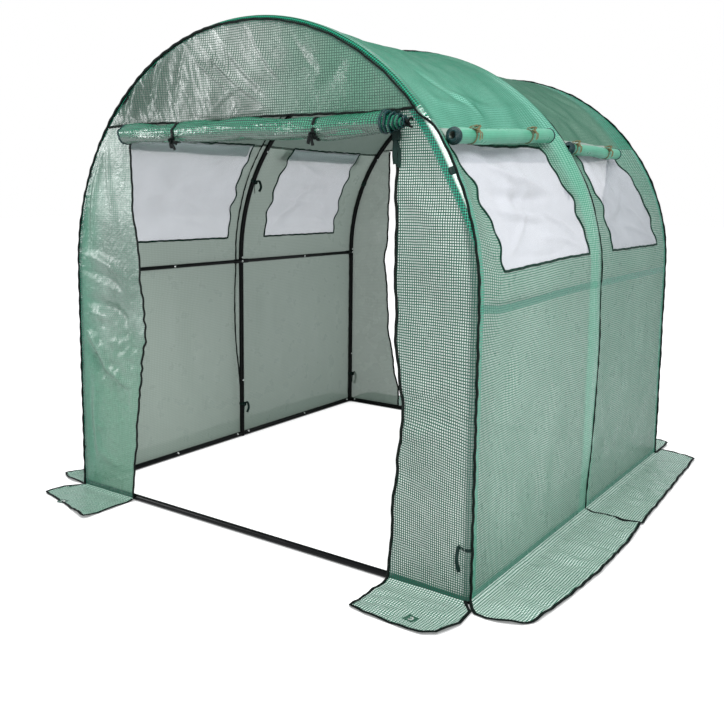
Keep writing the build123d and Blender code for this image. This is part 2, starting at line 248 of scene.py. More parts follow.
def spline(points):
    """A smooth path through points, 4 mm from one place to the next."""
    p = np.asarray(points, float)
    q = np.vstack([2 * p[0] - p[1], p, 2 * p[-1] - p[-2]])
    out = []
    for a, b, c, d in zip(q, q[1:], q[2:], q[3:]):
        n = max(2, math.ceil(np.linalg.norm(c - b) / 0.004))
        t = np.linspace(0, 1, n, endpoint=False)[:, None]
        curved = (2 * a - 5 * b + 4 * c - d) * t**2 + (3 * b - a - 3 * c + d) * t**3
        out.append(0.5 * (2 * b + (c - a) * t + curved))
    out.append(p[-1:])
    return np.concatenate(out)


# ---------------------------------------------------------------- materials


class Graph:
    """Nodes of a material or of the world. Most calls add one and return its output socket."""

    def __init__(self, name, kind="materials"):
        self.block = getattr(bpy.data, kind).new(name)
        self.block.use_nodes = True
        self.tree = self.block.node_tree
        self.tree.nodes.clear()

    def add(self, kind, inputs=None, output=0, **settings):
        node = self.tree.nodes.new("ShaderNode" + kind)
        for key, value in settings.items():
            setattr(node, key, value)
        for key, value in (inputs or {}).items():
            if isinstance(value, bpy.types.NodeSocket):
                self.tree.links.new(value, node.inputs[key])
            else:
                node.inputs[key].default_value = value
        return node.outputs[output]

    def done(self, shader, output="OutputMaterial"):
        node = self.tree.nodes.new("ShaderNode" + output)
        self.tree.links.new(shader, node.inputs["Surface"])
        return self.block

    def math(self, operation, a, b=0.0, c=0.0):
        return self.add("Math", {0: a, 1: b, 2: c}, operation=operation)

    def times(self, a, b):
        return self.math("MULTIPLY", a, b)

    def times_plus(self, a, b, c):
        return self.math("MULTIPLY_ADD", a, b, c)

    def minus(self, a, b):
        return self.math("SUBTRACT", a, b)

    def larger(self, a, b):
        return self.math("MAXIMUM", a, b)

    def step(self, value, low, high, to_low=0.0, to_high=1.0):
        inputs = {"Value": value, "From Min": low, "From Max": high, "To Min": to_low, "To Max": to_high}
        return self.add("MapRange", inputs, interpolation_type="SMOOTHSTEP")

    def uv(self):
        return self.add("UVMap", uv_map="UVMap")

    def back(self):
        return self.add("NewGeometry", output="Backfacing")

    def xyz(self, place):
        return self.add("SeparateXYZ", {0: place}).node.outputs

    def noise(self, place, scale, detail=3.0, rough=0.55, output=0):
        inputs = {"Vector": place, "Scale": scale, "Detail": detail, "Roughness": rough}
        return self.add("TexNoise", inputs, output)

    def mix(self, factor, a, b):
        return self.add("Mix", {"Factor": factor, 6: a, 7: b}, 2, data_type="RGBA")

    def mix_shader(self, factor, a, b):
        return self.add("MixShader", {0: factor, 1: a, 2: b})

    def relief(self, height, strength, distance):
        return self.add("Bump", {"Height": height, "Strength": strength, "Distance": distance})

    def surface(self, colour, roughness, normal, gloss=0.5, sheen=0.0, metal=0.0):
        inputs = {"Base Color": colour, "Roughness": roughness, "Normal": normal, "Metallic": metal}
        inputs.update({"Specular IOR Level": gloss, "Sheen Weight": sheen})
        return self.add("BsdfPrincipled", inputs)


def rgb(colour, by=1.0):
    return (*(c * by for c in colour), 1.0)


def towards(colour, other, share):
    return rgb(c + (o - c) * share for c, o in zip(colour, other))


def thread_lines(g, place, pitch, share):
    """1 on the threads of a square grid and 0 between, each direction on its own."""
    lines = []
    for value, size in zip(g.xyz(place), pitch):
        cell = g.math("FRACT", g.times(value, 1 / size))
        off = g.math("ABSOLUTE", g.minus(cell, 0.5))
        lines.append(g.step(off, share * 0.5 + 0.06, share * 0.5 - 0.06))
    return lines


def inside_strip(g, place, low, high):
    """1 from low to high, fading over both edges."""
    soft = (high - low) * 0.2
    return g.times(g.step(place, low - soft, low + soft), g.step(place, high + soft, high - soft))


ACROSS, UP, AWAY, DRIFTING = range(4)  # what film_places gives


def film_places(g, uv):
    """Across and up the film, away from the middle of an end arch, and that drifting out lower down."""
    across, up, _ = g.xyz(uv)
    above = g.larger(g.minus(up, SPRING), 0.0)
    away = g.math("SQRT", g.times_plus(across, across, g.times(above, above)))
    drift = g.step(up, SPRING, SPRING + 0.44, 0.93, 1.0)
    return across, up, away, g.times(away, drift)


# Whitish colour the film turns to in patches: partly its random tone, partly painted sheen.
SHEEN_WHITE = (0.86, 0.93, 0.89)


def film(name, colour, inner, thread, *, glow, deep=None, clear=0.05, share=0.34, rough=0.3, pale=0.2,
         crinkle=0.35, bold=1.0, patchy=0.35, gloss=0.5, fine=1.0, pitch=(0.0098, 0.0089),
         tinted=(), shade_and_shine=(), near=()):
    """Coated film with a grid of threads.

    colour and inner are its outer and inner face, and deep the outer one seen at a slant. clear is how much
    is seen straight through and glow how much light spreads through. share is how much of each pitch is
    thread. Strips and zones lie along one of film_places: near (place, low, high, strength) lets a tube
    close behind show, shade_and_shine (place, low, high, strength, between, on_thread) are strips of
    painted colour, most of them stretched over or beside a tube, painted dark for the tube seen through
    the film and the shade it casts, two of them a painted highlight and a painted shade, and tinted
    (place, low, high, colour) is a broad zone of another colour, some of them painted light or shade.
    """
    g = Graph(name)
    uv = g.uv()
    places = film_places(g, uv)
    back = g.back()
    outside = g.minus(1.0, back)

    # Threads, a little uneven
    inputs = {0: g.noise(uv, 9.0, 2.0, output=1), 1: (0.5, 0.5, 0.5)}
    inputs = {0: g.add("VectorMath", inputs, operation="SUBTRACT"), 1: (0.006, 0.006, 0.0), 2: uv}
    across, along = thread_lines(g, g.add("VectorMath", inputs, operation="MULTIPLY_ADD"), pitch, share)
    threads = g.larger(across, along)
    checks = g.times_plus(threads, 0.45, g.times(g.math("MINIMUM", across, along), 0.55))
    shown = g.times(threads, g.times_plus(outside, bold - 0.4, 0.4))

    # Colour of the film, then of the threads on it
    cloud = g.noise(uv, 3.5, 4.0, 0.6)
    # Whitish cloudy patches and fine flecks at random: partly a random tone of the film, partly painted
    # sheen.
    dull, sheened = rgb(colour, 1 - patchy * 0.5), towards(colour, SHEEN_WHITE, pale * 0.6)
    outer = g.mix(g.step(cloud, 0.35, 0.68), dull, sheened)
    flecked = g.times(g.step(g.noise(uv, 420.0, 2.0, 0.7), 0.35, 0.75), 0.4)
    outer = g.mix(flecked, outer, towards(colour, SHEEN_WHITE, pale))
    for place, low, high, other in tinted:
        ragged = g.times_plus(g.minus(cloud, 0.5), 0.35 * (high - low), places[place])
        outer = g.mix(inside_strip(g, ragged, low, high), outer, rgb(other))
    slant = g.add("LayerWeight", {"Blend": 0.35}, "Facing")
    outer = g.mix(g.step(slant, 0.25, 0.95), outer, rgb(deep or colour))
    body = g.mix(back, outer, rgb(inner))
    dyed = g.mix(g.step(g.noise(uv, 60.0, 2.0), 0.3, 0.7), rgb(thread, 0.75), rgb(thread))
    dyed = g.mix(back, dyed, rgb(inner, 0.55))
    shade = g.mix(shown, body, dyed)
    # Painted strips: over a tube the film is painted dark, for the dark tube seen through it and the shade it
    # casts; two strips are a painted highlight and a painted shade. The strips are glossier and let less
    # light through.
    in_strips = 0.0
    for place, low, high, strength, between, on_thread in shade_and_shine:
        mask = g.times(g.times(inside_strip(g, places[place], low, high), outside), strength)
        shade = g.mix(mask, shade, g.mix(checks, rgb(between), rgb(on_thread)))
        in_strips = g.larger(in_strips, mask)

    # Relief, gloss and the light that spreads through
    crumple = g.math("ABSOLUTE", g.minus(g.noise(uv, 17.0, 1.0 + 3.0 * fine, 0.6), 0.5))
    height = g.times_plus(crumple, crinkle, g.times(shown, 0.05))
    height = g.times_plus(g.noise(uv, 700.0, 1.0), 0.012, height)
    normal = g.relief(height, 0.5, 0.006)
    roughness = g.step(g.noise(uv, 12.0, 3.0), 0.2, 0.8, rough - 0.08, rough + 0.14)
    if shade_and_shine:
        roughness = g.times_plus(in_strips, -0.12, roughness)
        glow = g.times(g.minus(1.0, in_strips), glow)
    through = g.add("BsdfTranslucent", {"Color": shade, "Normal": normal})
    solid = g.mix_shader(glow, g.surface(shade, roughness, normal, gloss), through)

    # What is seen straight through the gaps between the threads
    gap = g.times(g.step(cloud, 0.2, 0.8, 1.15, 0.8), clear)
    for place, low, high, strength in near:
        gap = g.larger(gap, g.times(g.times(inside_strip(g, places[place], low, high), outside), strength))
    gap = g.times(gap, g.minus(1.0, g.larger(shown, in_strips)))
    open_air = g.add("BsdfTransparent", {"Color": rgb(0.35 + 0.65 * c**0.5 for c in colour)})
    return g.done(g.mix_shader(gap, solid, open_air))


def netting(name, colour, inner):
    """Fine white insect net: a soft cloth with a close weave that lets a little be seen through."""
    g = Graph(name)
    uv, back = g.uv(), g.back()
    weave = g.larger(*thread_lines(g, uv, (0.0016, 0.0016), 0.5))
    body = g.mix(g.step(g.noise(uv, 6.0, 3.0), 0.3, 0.7), rgb(colour, 0.94), rgb(colour))
    body = g.mix(back, body, rgb(inner))
    normal = g.relief(g.times_plus(g.noise(uv, 24.0, 1.0), 0.12, g.times(weave, 0.03)), 0.35, 0.005)
    through = g.add("BsdfTranslucent", {"Color": body, "Normal": normal})
    solid = g.mix_shader(0.4, g.surface(body, 0.75, normal, gloss=0.2, sheen=0.15), through)
    gap = g.times_plus(g.minus(1.0, weave), 0.35, g.times_plus(back, 0.24, 0.10))
    return g.done(g.mix_shader(gap, solid, g.add("BsdfTransparent")))


def tape(name, colour, rough=0.5, gloss=0.12):
    """Woven binding tape or ribbon."""
    g = Graph(name)
    uv = g.uv()
    ribs = g.add("TexWave", {"Vector": uv, "Scale": 300.0, "Distortion": 1.5, "Detail": 2.0}, 1)
    worn = g.step(g.noise(uv, 30.0, 4.0), 0.35, 0.8)
    body = g.mix(worn, rgb(colour), rgb(c * 1.7 + 0.001 for c in colour))
    return g.done(g.surface(body, rough, g.relief(ribs, 0.5, 0.0006), gloss))


def twine(name, colour):
    """Two-strand twine; the strands run round it at a slant."""
    g = Graph(name)
    uv = g.uv()
    slanted = g.add("Mapping", {"Vector": uv, "Rotation": (0, 0, 0.9)})
    strand = g.add("TexWave", {"Vector": slanted, "Scale": 120.0}, 1)
    fibre = g.noise(uv, 500.0, 3.0)
    # Darker between the strands: painted shade in the grooves.
    body = g.mix(strand, rgb(colour, 0.55), rgb(colour))
    body = g.mix(g.times(fibre, 0.4), body, rgb(colour, 1.25))
    return g.done(g.surface(body, 0.85, g.relief(g.times_plus(fibre, 0.3, strand), 0.7, 0.0008), 0.2))


def coated_tube(name, colour):
    """Powder coat on steel: a fine orange peel, dust and a few rubbed marks."""
    g = Graph(name)
    place = g.add("TexCoord", output="Object")
    peel = g.noise(place, 520.0, 2.0)
    dust = g.step(g.noise(place, 7.0, 5.0, 0.65), 0.45, 0.8)
    rub = g.step(g.noise(place, 38.0, 6.0, 0.75), 0.66, 0.72)
    body = g.mix(g.times(dust, 0.35), rgb(colour), rgb(c * 1.6 + 0.002 for c in colour))
    body = g.mix(g.times(rub, 0.3), body, rgb((0.012, 0.013, 0.013)))
    roughness = g.step(dust, 0.0, 1.0, 0.3, 0.5)
    return g.done(g.surface(body, roughness, g.relief(peel, 0.18, 0.0005), 0.16))


def plated(name, colour, rough):
    """Zinc-plated metal with fine scuffs."""
    g = Graph(name)
    scuff = g.noise(g.add("TexCoord", output="Object"), 900.0, 4.0, 0.7)
    body = g.mix(scuff, rgb(colour, 0.8), rgb(colour))
    roughness = g.step(scuff, 0.3, 0.7, rough - 0.08, rough + 0.15)
    return g.done(g.surface(body, roughness, g.relief(scuff, 0.2, 0.0003), metal=0.5))


LEAF = (0.59, 0.67, 0.61)
LEAF_INNER = (0.30, 0.36, 0.315)
END_INNER = (0.34, 0.40, 0.35)
THREAD = (0.04, 0.22, 0.14)
DARK = (0.003, 0.010, 0.007)
CHECK = (0.006, 0.19, 0.115)

# Strips over or beside a tube: (place, low, high, strength, between, on_thread)
# Over a tube the film is painted dark: the dark tube seen through it, and painted shade where the tube blocks
# the light coming through the film.
ON_BARS = (UP, 0.0, 0.034, 0.95, (0.006, 0.035, 0.024), (0.008, 0.12, 0.075))
ON_SIDE_BARS = (UP, 0.0, 0.034, 0.85, (0.03, 0.17, 0.115), (0.01, 0.13, 0.085))
ON_RAILS = (UP, RAIL_Z - 0.015, RAIL_Z + 0.014, 0.8, (0.02, 0.17, 0.11), (0.008, 0.10, 0.065))
ON_END_ARCH = (ACROSS, -0.05, TUBE_R * 0.6, 0.95, DARK, CHECK)
BY_END_ARCH = (ACROSS, TUBE_R * 0.6, 0.034, 0.80, (0.012, 0.09, 0.06), (0.06, 0.46, 0.29))
BY_MIDDLE_ARCH = (ACROSS, BAY - 0.060, BAY + 0.030, 0.65, (0.13, 0.36, 0.25), (0.03, 0.22, 0.14))
UNDER_ROOF_ARCH = (ACROSS, -0.05, 0.020, 0.95, DARK, (0.010, 0.38, 0.21))
BY_ROOF_ARCH = (ACROSS, 0.015, 0.085, 0.80, (0.003, 0.030, 0.018), (0.014, 0.48, 0.28))
ROUND_END_ARCH = (AWAY, ARCH_R - 0.013, ARCH_R + 0.08, 0.95, DARK, CHECK)
BY_LIT_LEG = (AWAY, ARCH_R - 0.010, ARCH_R + 0.08, 0.80, (0.04, 0.085, 0.065), (0.008, 0.05, 0.035))
SHOULDER_CHECKS = (DRIFTING, ARCH_R - 0.026, ARCH_R + 0.002, 0.95, (0.002, 0.012, 0.009), (0.022, 0.30, 0.19))
# Painted highlight: a pale strip along the shoulder of the lit end arch.
SHOULDER_PAINTED_HIGHLIGHT = (DRIFTING, ARCH_R + 0.001, ARCH_R + 0.026, 0.90, (0.70, 0.80, 0.74), (0.36, 0.52, 0.44))
# Painted shade: the door roll's underside is darker, with darker threads.
SHADED_UNDERSIDE = (UP, 0.034, 0.118, 0.85, (0.050, 0.085, 0.066), (0.01, 0.03, 0.02))  # of the door roll
BEHIND_PANEL = (AWAY, ARCH_R - TUBE_R, ARCH_R + TUBE_R, 0.5)

# Broad zones of another colour: (place, low, high, colour)
UPPER_WALL = (UP, FLAP_S - 0.30, FLAP_S + 0.25, (0.27, 0.50, 0.38))
# Painted light: the lower flank of each roof is paler where the light falls on it, brighter on the front
# roof.
SUNNY_FLANK = (UP, FLAP_S - 0.5, FLAP_S + 0.42, (0.23, 0.56, 0.43))
DULL_LIT_FLANK = (UP, FLAP_S - 0.5, FLAP_S + 0.42, (0.28, 0.44, 0.345))
GREEN_SIDE = (ACROSS, 0.24, 1.4, (0.15, 0.33, 0.235))
# The lunette's left side is greyer, and painted darker as shade.
GREY_SHADED_SIDE = (ACROSS, -1.4, -0.36, (0.14, 0.17, 0.148))
OUTER_GREEN = (ACROSS, 0.87, 1.4, (0.085, 0.27, 0.18))
LOW_GREEN = (UP, -0.6, 0.66, (0.18, 0.34, 0.245))
# Painted shade: the skirts on the left, away from the light, are darker.
SHADED_LEFT_SKIRTS = (ACROSS, -1.6, -0.45, (0.56, 0.76, 0.65))

wall_film = film(
    "wall_film", LEAF, LEAF_INNER, THREAD, deep=(0.42, 0.59, 0.49), share=0.36, glow=0.5, crinkle=0.02,
    fine=0.0, tinted=[UPPER_WALL], shade_and_shine=[ON_SIDE_BARS, ON_RAILS, ON_END_ARCH, BY_END_ARCH, BY_MIDDLE_ARCH])
ROOF = dict(share=0.28, clear=0.03, glow=0.42, rough=0.45, pale=0.08, crinkle=0.05, fine=0.0, gloss=0.12,
            bold=0.7, shade_and_shine=[UNDER_ROOF_ARCH, BY_ROOF_ARCH])
ROOF_INNER = (0.17, 0.22, 0.19)
# The front and rear roof are one film: the rear is painted darker than the front, as shade.
roof_films = {
    "front": film("roof_film_front", (0.030, 0.25, 0.145), ROOF_INNER, (0.012, 0.17, 0.10),
                  deep=(0.012, 0.19, 0.105), tinted=[SUNNY_FLANK], **ROOF),
    "rear": film("roof_film_rear", (0.060, 0.21, 0.13), ROOF_INNER, (0.015, 0.11, 0.065),
                 deep=(0.03, 0.16, 0.09), tinted=[DULL_LIT_FLANK], **ROOF),
}
END = dict(glow=0.36, near=[BEHIND_PANEL])
lit_film = film(
    "lit_end_film", (0.68, 0.75, 0.70), END_INNER, (0.03, 0.12, 0.08), deep=(0.34, 0.50, 0.41), share=0.42,
    clear=0.10, rough=0.22, patchy=0.5, pitch=(0.0082, 0.0089), crinkle=0.6,
    shade_and_shine=[ON_BARS, BY_LIT_LEG, SHOULDER_CHECKS, SHOULDER_PAINTED_HIGHLIGHT], **END)
SHADED = dict(END, rough=0.25, pale=0.6, patchy=0.9, shade_and_shine=[ON_BARS, ROUND_END_ARCH])
lunette_film = film(
    "lunette_film", (0.39, 0.415, 0.38), END_INNER, (0.05, 0.12, 0.085), deep=(0.26, 0.36, 0.30),
    clear=0.06, crinkle=2.1, gloss=0.78, bold=0.95, tinted=[GREY_SHADED_SIDE, GREEN_SIDE], **SHADED)
shaded_film = film(
    "shaded_end_film", (0.25, 0.34, 0.285), END_INNER, (0.08, 0.23, 0.16), crinkle=2.7, gloss=0.74, bold=0.6,
    tinted=[LOW_GREEN, OUTER_GREEN], **SHADED)
skirt_film = film(
    "skirt_film", (0.84, 0.97, 0.90), LEAF_INNER, (0.02, 0.17, 0.10), deep=(0.70, 0.88, 0.78), glow=0.3,
    crinkle=0.05, fine=0.0, tinted=[SHADED_LEFT_SKIRTS])
patch_film = film(
    "patch_film", (0.02, 0.15, 0.085), (0.02, 0.15, 0.085), (0.004, 0.04, 0.025), clear=0.0, glow=0.1)
roll_film = film(
    "roll_film", (0.085, 0.40, 0.25), LEAF_INNER, (0.05, 0.30, 0.185), share=0.25, clear=0.0, glow=0.2,
    pale=0.15, bold=0.6, crinkle=0.3, fine=0.3)
door_film = film(
    "door_film", (0.010, 0.25, 0.125), (0.2, 0.27, 0.22), (0.002, 0.04, 0.027), share=0.36, clear=0.0,
    glow=0.05, rough=0.18, pale=0.08, crinkle=3.2, gloss=1.0, shade_and_shine=[SHADED_UNDERSIDE])
# The net's inner face is painted far darker than its white outer face, as shade.
net = netting("window_net", (0.56, 0.575, 0.62), (0.108, 0.109, 0.118))
dark_tape = tape("dark_tape", (0.0012, 0.004, 0.003), gloss=0.1)
green_tape = tape("green_tape", (0.002, 0.022, 0.013), gloss=0.1)
ribbon_cloth = tape("ribbon_cloth", (0.0012, 0.003, 0.0025), 0.45)
strap_cloth = tape("strap_cloth", (0.002, 0.014, 0.011), 0.35, 0.15)
ring_cloth = tape("ring_tape", (0.0018, 0.020, 0.021), 0.3, 0.3)
jute = twine("jute", (0.17, 0.155, 0.08))
tube_paint = coated_tube("tube_paint", (0.0012, 0.0016, 0.0018))
zinc = plated("zinc", (0.98, 0.98, 0.97), 0.15)
brass = plated("eyelet_metal", (0.85, 0.85, 0.82), 0.2)

for node, obj in frame["nodes"].items():
    material = None
    if any(word in node for word in ("feet", "legs", "bow", "bar", "rails")):
        material = tube_paint
    elif node == "peg_eyelets":
        material = brass
    if material:
        obj.data.materials.clear()
        obj.data.materials.append(material)


# ---------------------------------------------------------------- the cover's shape


def slack(y, s, side):
    """How far the cover stands out from its even curve, y along the tunnel and s up from the ground."""
    bay = np.where(y < 0, y + BAY, y) / BAY
    middle = np.sin(math.pi * np.clip(bay, 0, 1))
    roof = smooth(s, FLAP_S - 0.25, FLAP_S + 0.25)
    below_rail = smooth(s, 0.06, 0.3) * smooth(s, RAIL_Z + 0.02, RAIL_Z - 0.25)
    above_rail = smooth(s, RAIL_Z + 0.02, RAIL_Z + 0.3)
    sag = -0.018 * roof * middle**1.3 - 0.010 * below_rail * middle - 0.006 * (above_rail - roof) * middle
    flap_weight = 0.014 if side > 0 else 0.002
    sag = sag - flap_weight * bump(s, WINDOW_S[side][1] - 0.03, 0.16) * middle
    free = middle**0.8 * (below_rail + above_rail)
    drape = 0.0030 * waves(y, s * 0.25, 11 + side, 0.16) + 0.0026 * waves(y, s, 23 + side, 0.32)
    fine = 0.0004 * waves(y, s * 0.5, 31 + side, 0.06) * (1 - roof)
    crown_fade = smooth(GIRTH - s, 0.0, 0.25)
    ridge = 0.014 * bump(y, -0.003, 0.030) * smooth(s, SPRING + 0.05, SPRING + 0.6)
    if side > 0:
        ridge = ridge + 0.014 * bump(y, 0.030, 0.040) * bump(s, SPRING + 0.30, 0.42)
    loose_leg = 0.013 * bump(y, 0.02, 0.13) * below_rail
    return sag + free * (drape * (1 - 0.4 * roof) + fine) * crown_fade + ridge + loose_leg


# Creases of the roof: (y, way to the left of the crown) at either end, then width and height
ROOF_FOLDS = [
    (-0.80, -0.79, -0.43, -0.78, 0.030, 0.0085),
    (-0.43, -0.78, -0.02, -0.75, 0.020, 0.0060),
    (-0.64, -0.70, -0.30, -0.78, 0.022, 0.0060),
    (-0.70, -0.60, -0.46, -0.82, 0.018, -0.0050),
    (-0.55, -0.72, -0.43, -0.845, 0.014, 0.0070),
    (-0.96, -0.50, -0.60, -0.30, 0.040, -0.0050),
    (-0.30, -0.30, -0.06, -0.52, 0.035, 0.0050),
    (0.20, -0.60, 0.62, -0.80, 0.030, 0.0060),
    (0.12, -0.80, 0.40, -0.76, 0.022, 0.0050),
    (0.70, -0.40, 0.95, -0.66, 0.030, -0.0050),
    (-0.75, 0.55, -0.35, 0.80, 0.030, 0.0060),
    (0.30, 0.50, 0.75, 0.78, 0.030, -0.0060),
]
# The cover hangs askew between its arches: (shift at the window's foot, loss at its top, more loss to the
# rear, droop to the front)
ASKEW = {(1, -1): (0.050, 0.14, 0.03, 0.020), (1, 1): (0.040, 0.10, 0.09, 0.0),
         (-1, -1): (0.0, 0.0, 0.0, 0.0), (-1, 1): (-0.005, -0.03, 0.03, 0.0)}


def sway(y, s, side):
    """Shift of the cover along the tunnel and down: its sewn edges are wavy and askew between arches."""
    bay = np.where(y < 0, y + BAY, y)
    free = smooth(bay, 0.02, 0.13) * smooth(bay, BAY - 0.02, BAY - 0.11)
    curve = smooth(s, SPRING + 0.05, SPRING + 0.2) * smooth(s, FLAP_S, FLAP_S - 0.12)
    ripple = 2.0 if side > 0 else 1.2
    shift = free * curve * ripple * (0.007 * np.sin(s * 34 + y * 3) + 0.006 * np.sin(s * 57 + 1.3 + y * 5))
    foot_s, top_s = WINDOW_S[side]
    rise = np.clip((s - foot_s) / (top_s - foot_s), 0, 1)
    fade = smooth(s, SPRING - 0.25, foot_s) * smooth(s, GIRTH - 0.1, FLAP_S)
    droop = 0
    for end in ENDS.values():
        foot, loss, more, down = ASKEW[side, end]
        lean = foot - (loss + more * smooth(bay, 0.2, 0.9)) * rise
        shift = shift + free * fade * lean * (y * end > 0)
        droop = droop + free * fade * down * smooth(bay, 0.9, 0.1) * (y * end > 0)
    return shift, droop


def arch_angle(s):
    """How far round an arch a place on the cover is, from 0 at the spring of the arch."""
    return np.clip((np.asarray(s, float) - SPRING) / COVER_R, 0, None)


def cover_point(y, s, side, out=0.0):
    """Point of the cover on one side (+1 right, -1 left); s runs up from the ground to the crown."""
    shift, droop = sway(y, s, side)
    shifted = y + shift
    stand = COVER_R + out + slack(shifted, s, side)
    stand = stand + folds(y, side * (s - GIRTH), ROOF_FOLDS) * smooth(s, FLAP_S - 0.1, FLAP_S)
    angle = arch_angle(s)
    x = stand * np.cos(angle)
    z = np.where(s < SPRING, s, SPRING + stand * np.sin(angle)) - droop
    return side * x, shifted, z


def cover_normal(s, side):
    angle = arch_angle(s)
    return np.stack([side * np.cos(angle), np.zeros_like(angle), np.sin(angle)], -1)


def around_tube(along, turn, side, end):
    """Film on an end arch: along is s, turn the angle round the tube from 0 outward to 90 at its end."""
    reach = ARCH_R + WRAP_R * np.cos(turn)
    y = end * (ARCH_Y + WRAP_R * np.sin(turn))
    angle = arch_angle(along)
    x = side * reach * np.cos(angle)
    z = np.where(along < SPRING, along, SPRING + reach * np.sin(angle))
    return x, y, z


WALL_TURN = math.radians(8)  # how far the film goes round the end tube
ROOF_TURN = math.radians(100)


def place_film(U, V, side, end):
    """Film over a bay and round its end tube; U past the arch is the length round the tube."""
    past = np.clip(np.abs(U) - ARCH_Y, 0, None)
    flat = cover_point(np.clip(U, -ARCH_Y, ARCH_Y), V, side)
    bent = around_tube(V, past / WRAP_R, side, end)
    return [np.where(past > 0, b, f) for f, b in zip(flat, bent)]


def bay_u(end, turn):
    """Places along a bay, from the middle seam to where its film ends on the end tube."""
    inner = steps(*sorted([SEAM_PAST_MIDDLE, end * ARCH_Y, *WINDOW_SPAN[end]]))
    wrap = ARCH_Y + WRAP_R * np.linspace(0, turn, 2 + int(turn * 6))[1:]
    return np.concatenate([-wrap[::-1], inner]) if end < 0 else np.concatenate([inner, wrap])


def bay_uv(U, V):
    return ARCH_Y - np.abs(U), V


def film_sheet(name, u, v, place, material, flat, held, rests_on, nodes, slot="cover_green", area=None,
               **shape):
    """A sheet over the grid, finished with its material, in place of the nodes it replaces. flat, held,
    rests_on, slot and area are not used.
    """
    obj = sheet_grid(name, u, v, place, **shape)
    finish_piece(obj, material, nodes)


# Folds of the nets, in shares of the opening: (t0, h0, t1, h1, width, height)
ACROSS_NET = [
    (0.02, 0.95, 0.75, 0.62, 0.040, 0.022),
    (0.00, 0.62, 0.80, 0.55, 0.045, -0.019),
    (0.02, 0.50, 0.60, 0.36, 0.030, 0.017),
    (0.02, 0.05, 0.50, 0.62, 0.026, 0.015),
    (0.98, 0.04, 0.62, 0.40, 0.022, 0.015),
    (0.98, 0.04, 0.45, 0.20, 0.020, 0.015),
    (0.05, 0.12, 0.85, 0.10, 0.026, -0.012),
    (0.20, 0.88, 0.95, 0.90, 0.026, 0.014),
]
CORNER_NET = [
    (0.06, 1.00, 0.10, 0.05, 0.016, -0.014),
    (0.10, 1.00, 0.16, 0.10, 0.020, 0.012),
    (0.98, 0.04, 0.50, 0.45, 0.030, 0.010),
    (0.98, 0.04, 0.30, 0.25, 0.028, 0.010),
    (0.98, 0.95, 0.40, 0.60, 0.040, -0.009),
    (0.05, 0.30, 0.80, 0.80, 0.040, 0.008),
]
NET_FOLDS = {(1, -1): ACROSS_NET, (1, 1): CORNER_NET, (-1, -1): CORNER_NET, (-1, 1): ACROSS_NET}

LAP = 0.005  # how far a net passes the edge of its window

for side_name, side in SIDES.items():
    for end_name, end in ENDS.items():
        low, high = WINDOW_SPAN[end]
        foot_s, top_s = WINDOW_S[side]

        def in_window(U, V):
            return (U > low) & (U < high) & (V > foot_s) & (V < top_s)

        def net_place(U, V):
            t = np.clip((U - low) / (high - low), 0, 1)
            h = np.clip((V - foot_s) / (top_s - foot_s), 0, 1)
            free = (np.sin(math.pi * t) * np.sin(math.pi * h)) ** 0.5
            ripple = 0.008 * waves(U, V, 41 + side, 0.36) + 0.004 * waves(U, V * 0.6, 47, 0.15)
            billow = -0.0008 + free * (-0.004 + ripple)
            return cover_point(U, V, side, billow + folds(t, h, NET_FOLDS[side, end]) * free)

        wall_name = f"{side_name}_wall_{end_name}"
        length, height = BAY + TUBE_R, FLAP_S
        film_sheet(
            wall_name, bay_u(end, WALL_TURN),
            steps(FOOT_S, 0.1, RAIL_Z, foot_s, top_s, FLAP_S, size=0.0125),
            lambda U, V: place_film(U, V, side, end), wall_film, (length, height), "stretched",
            [f"{side_name}_rails", f"{side_name}_base_bars", "middle_legs", f"{end_name}_legs"],
            [f"{wall_name}_bay"], area=length * height - (high - low) * (top_s - foot_s),
            hole=in_window, uv=bay_uv, flip=side < 0)
        film_sheet(
            f"{side_name}_window_{end_name}", steps(low - LAP, low, high, high + LAP, size=0.011),
            steps(foot_s - LAP, foot_s, top_s, top_s + LAP, size=0.011), net_place, net,
            (high - low + 2 * LAP, top_s - foot_s + 2 * LAP), "stretched", [wall_name],
            [f"{side_name}_window_meshes"], slot="window_mesh")

for end_name, end in ENDS.items():
    over_crown = np.linspace(FLAP_S, 2 * GIRTH - FLAP_S, 150)

    def roof_place(U, V):
        right = place_film(U, np.minimum(V, 2 * GIRTH - V), 1, end)
        left = place_film(U, np.minimum(V, 2 * GIRTH - V), -1, end)
        return [np.where(V <= GIRTH, r, l) for r, l in zip(right, left)]

    film_sheet(
        f"{end_name}_roof", bay_u(end, ROOF_TURN), over_crown, roof_place, roof_films[end_name],
        (BAY + 0.035, over_crown[-1] - over_crown[0]), "stretched",
        ["middle_crown_bow", f"{end_name}_crown_bow"], [f"roof_{end_name}_bay"], uv=bay_uv)

# ---------------------------------------------------------------- ends

SEAM_HALF = math.sqrt(ARCH_R**2 - (SEAM_Z - SPRING) ** 2)
SEGMENT_SHARE = 0.68  # of its rectangle that a lunette fills
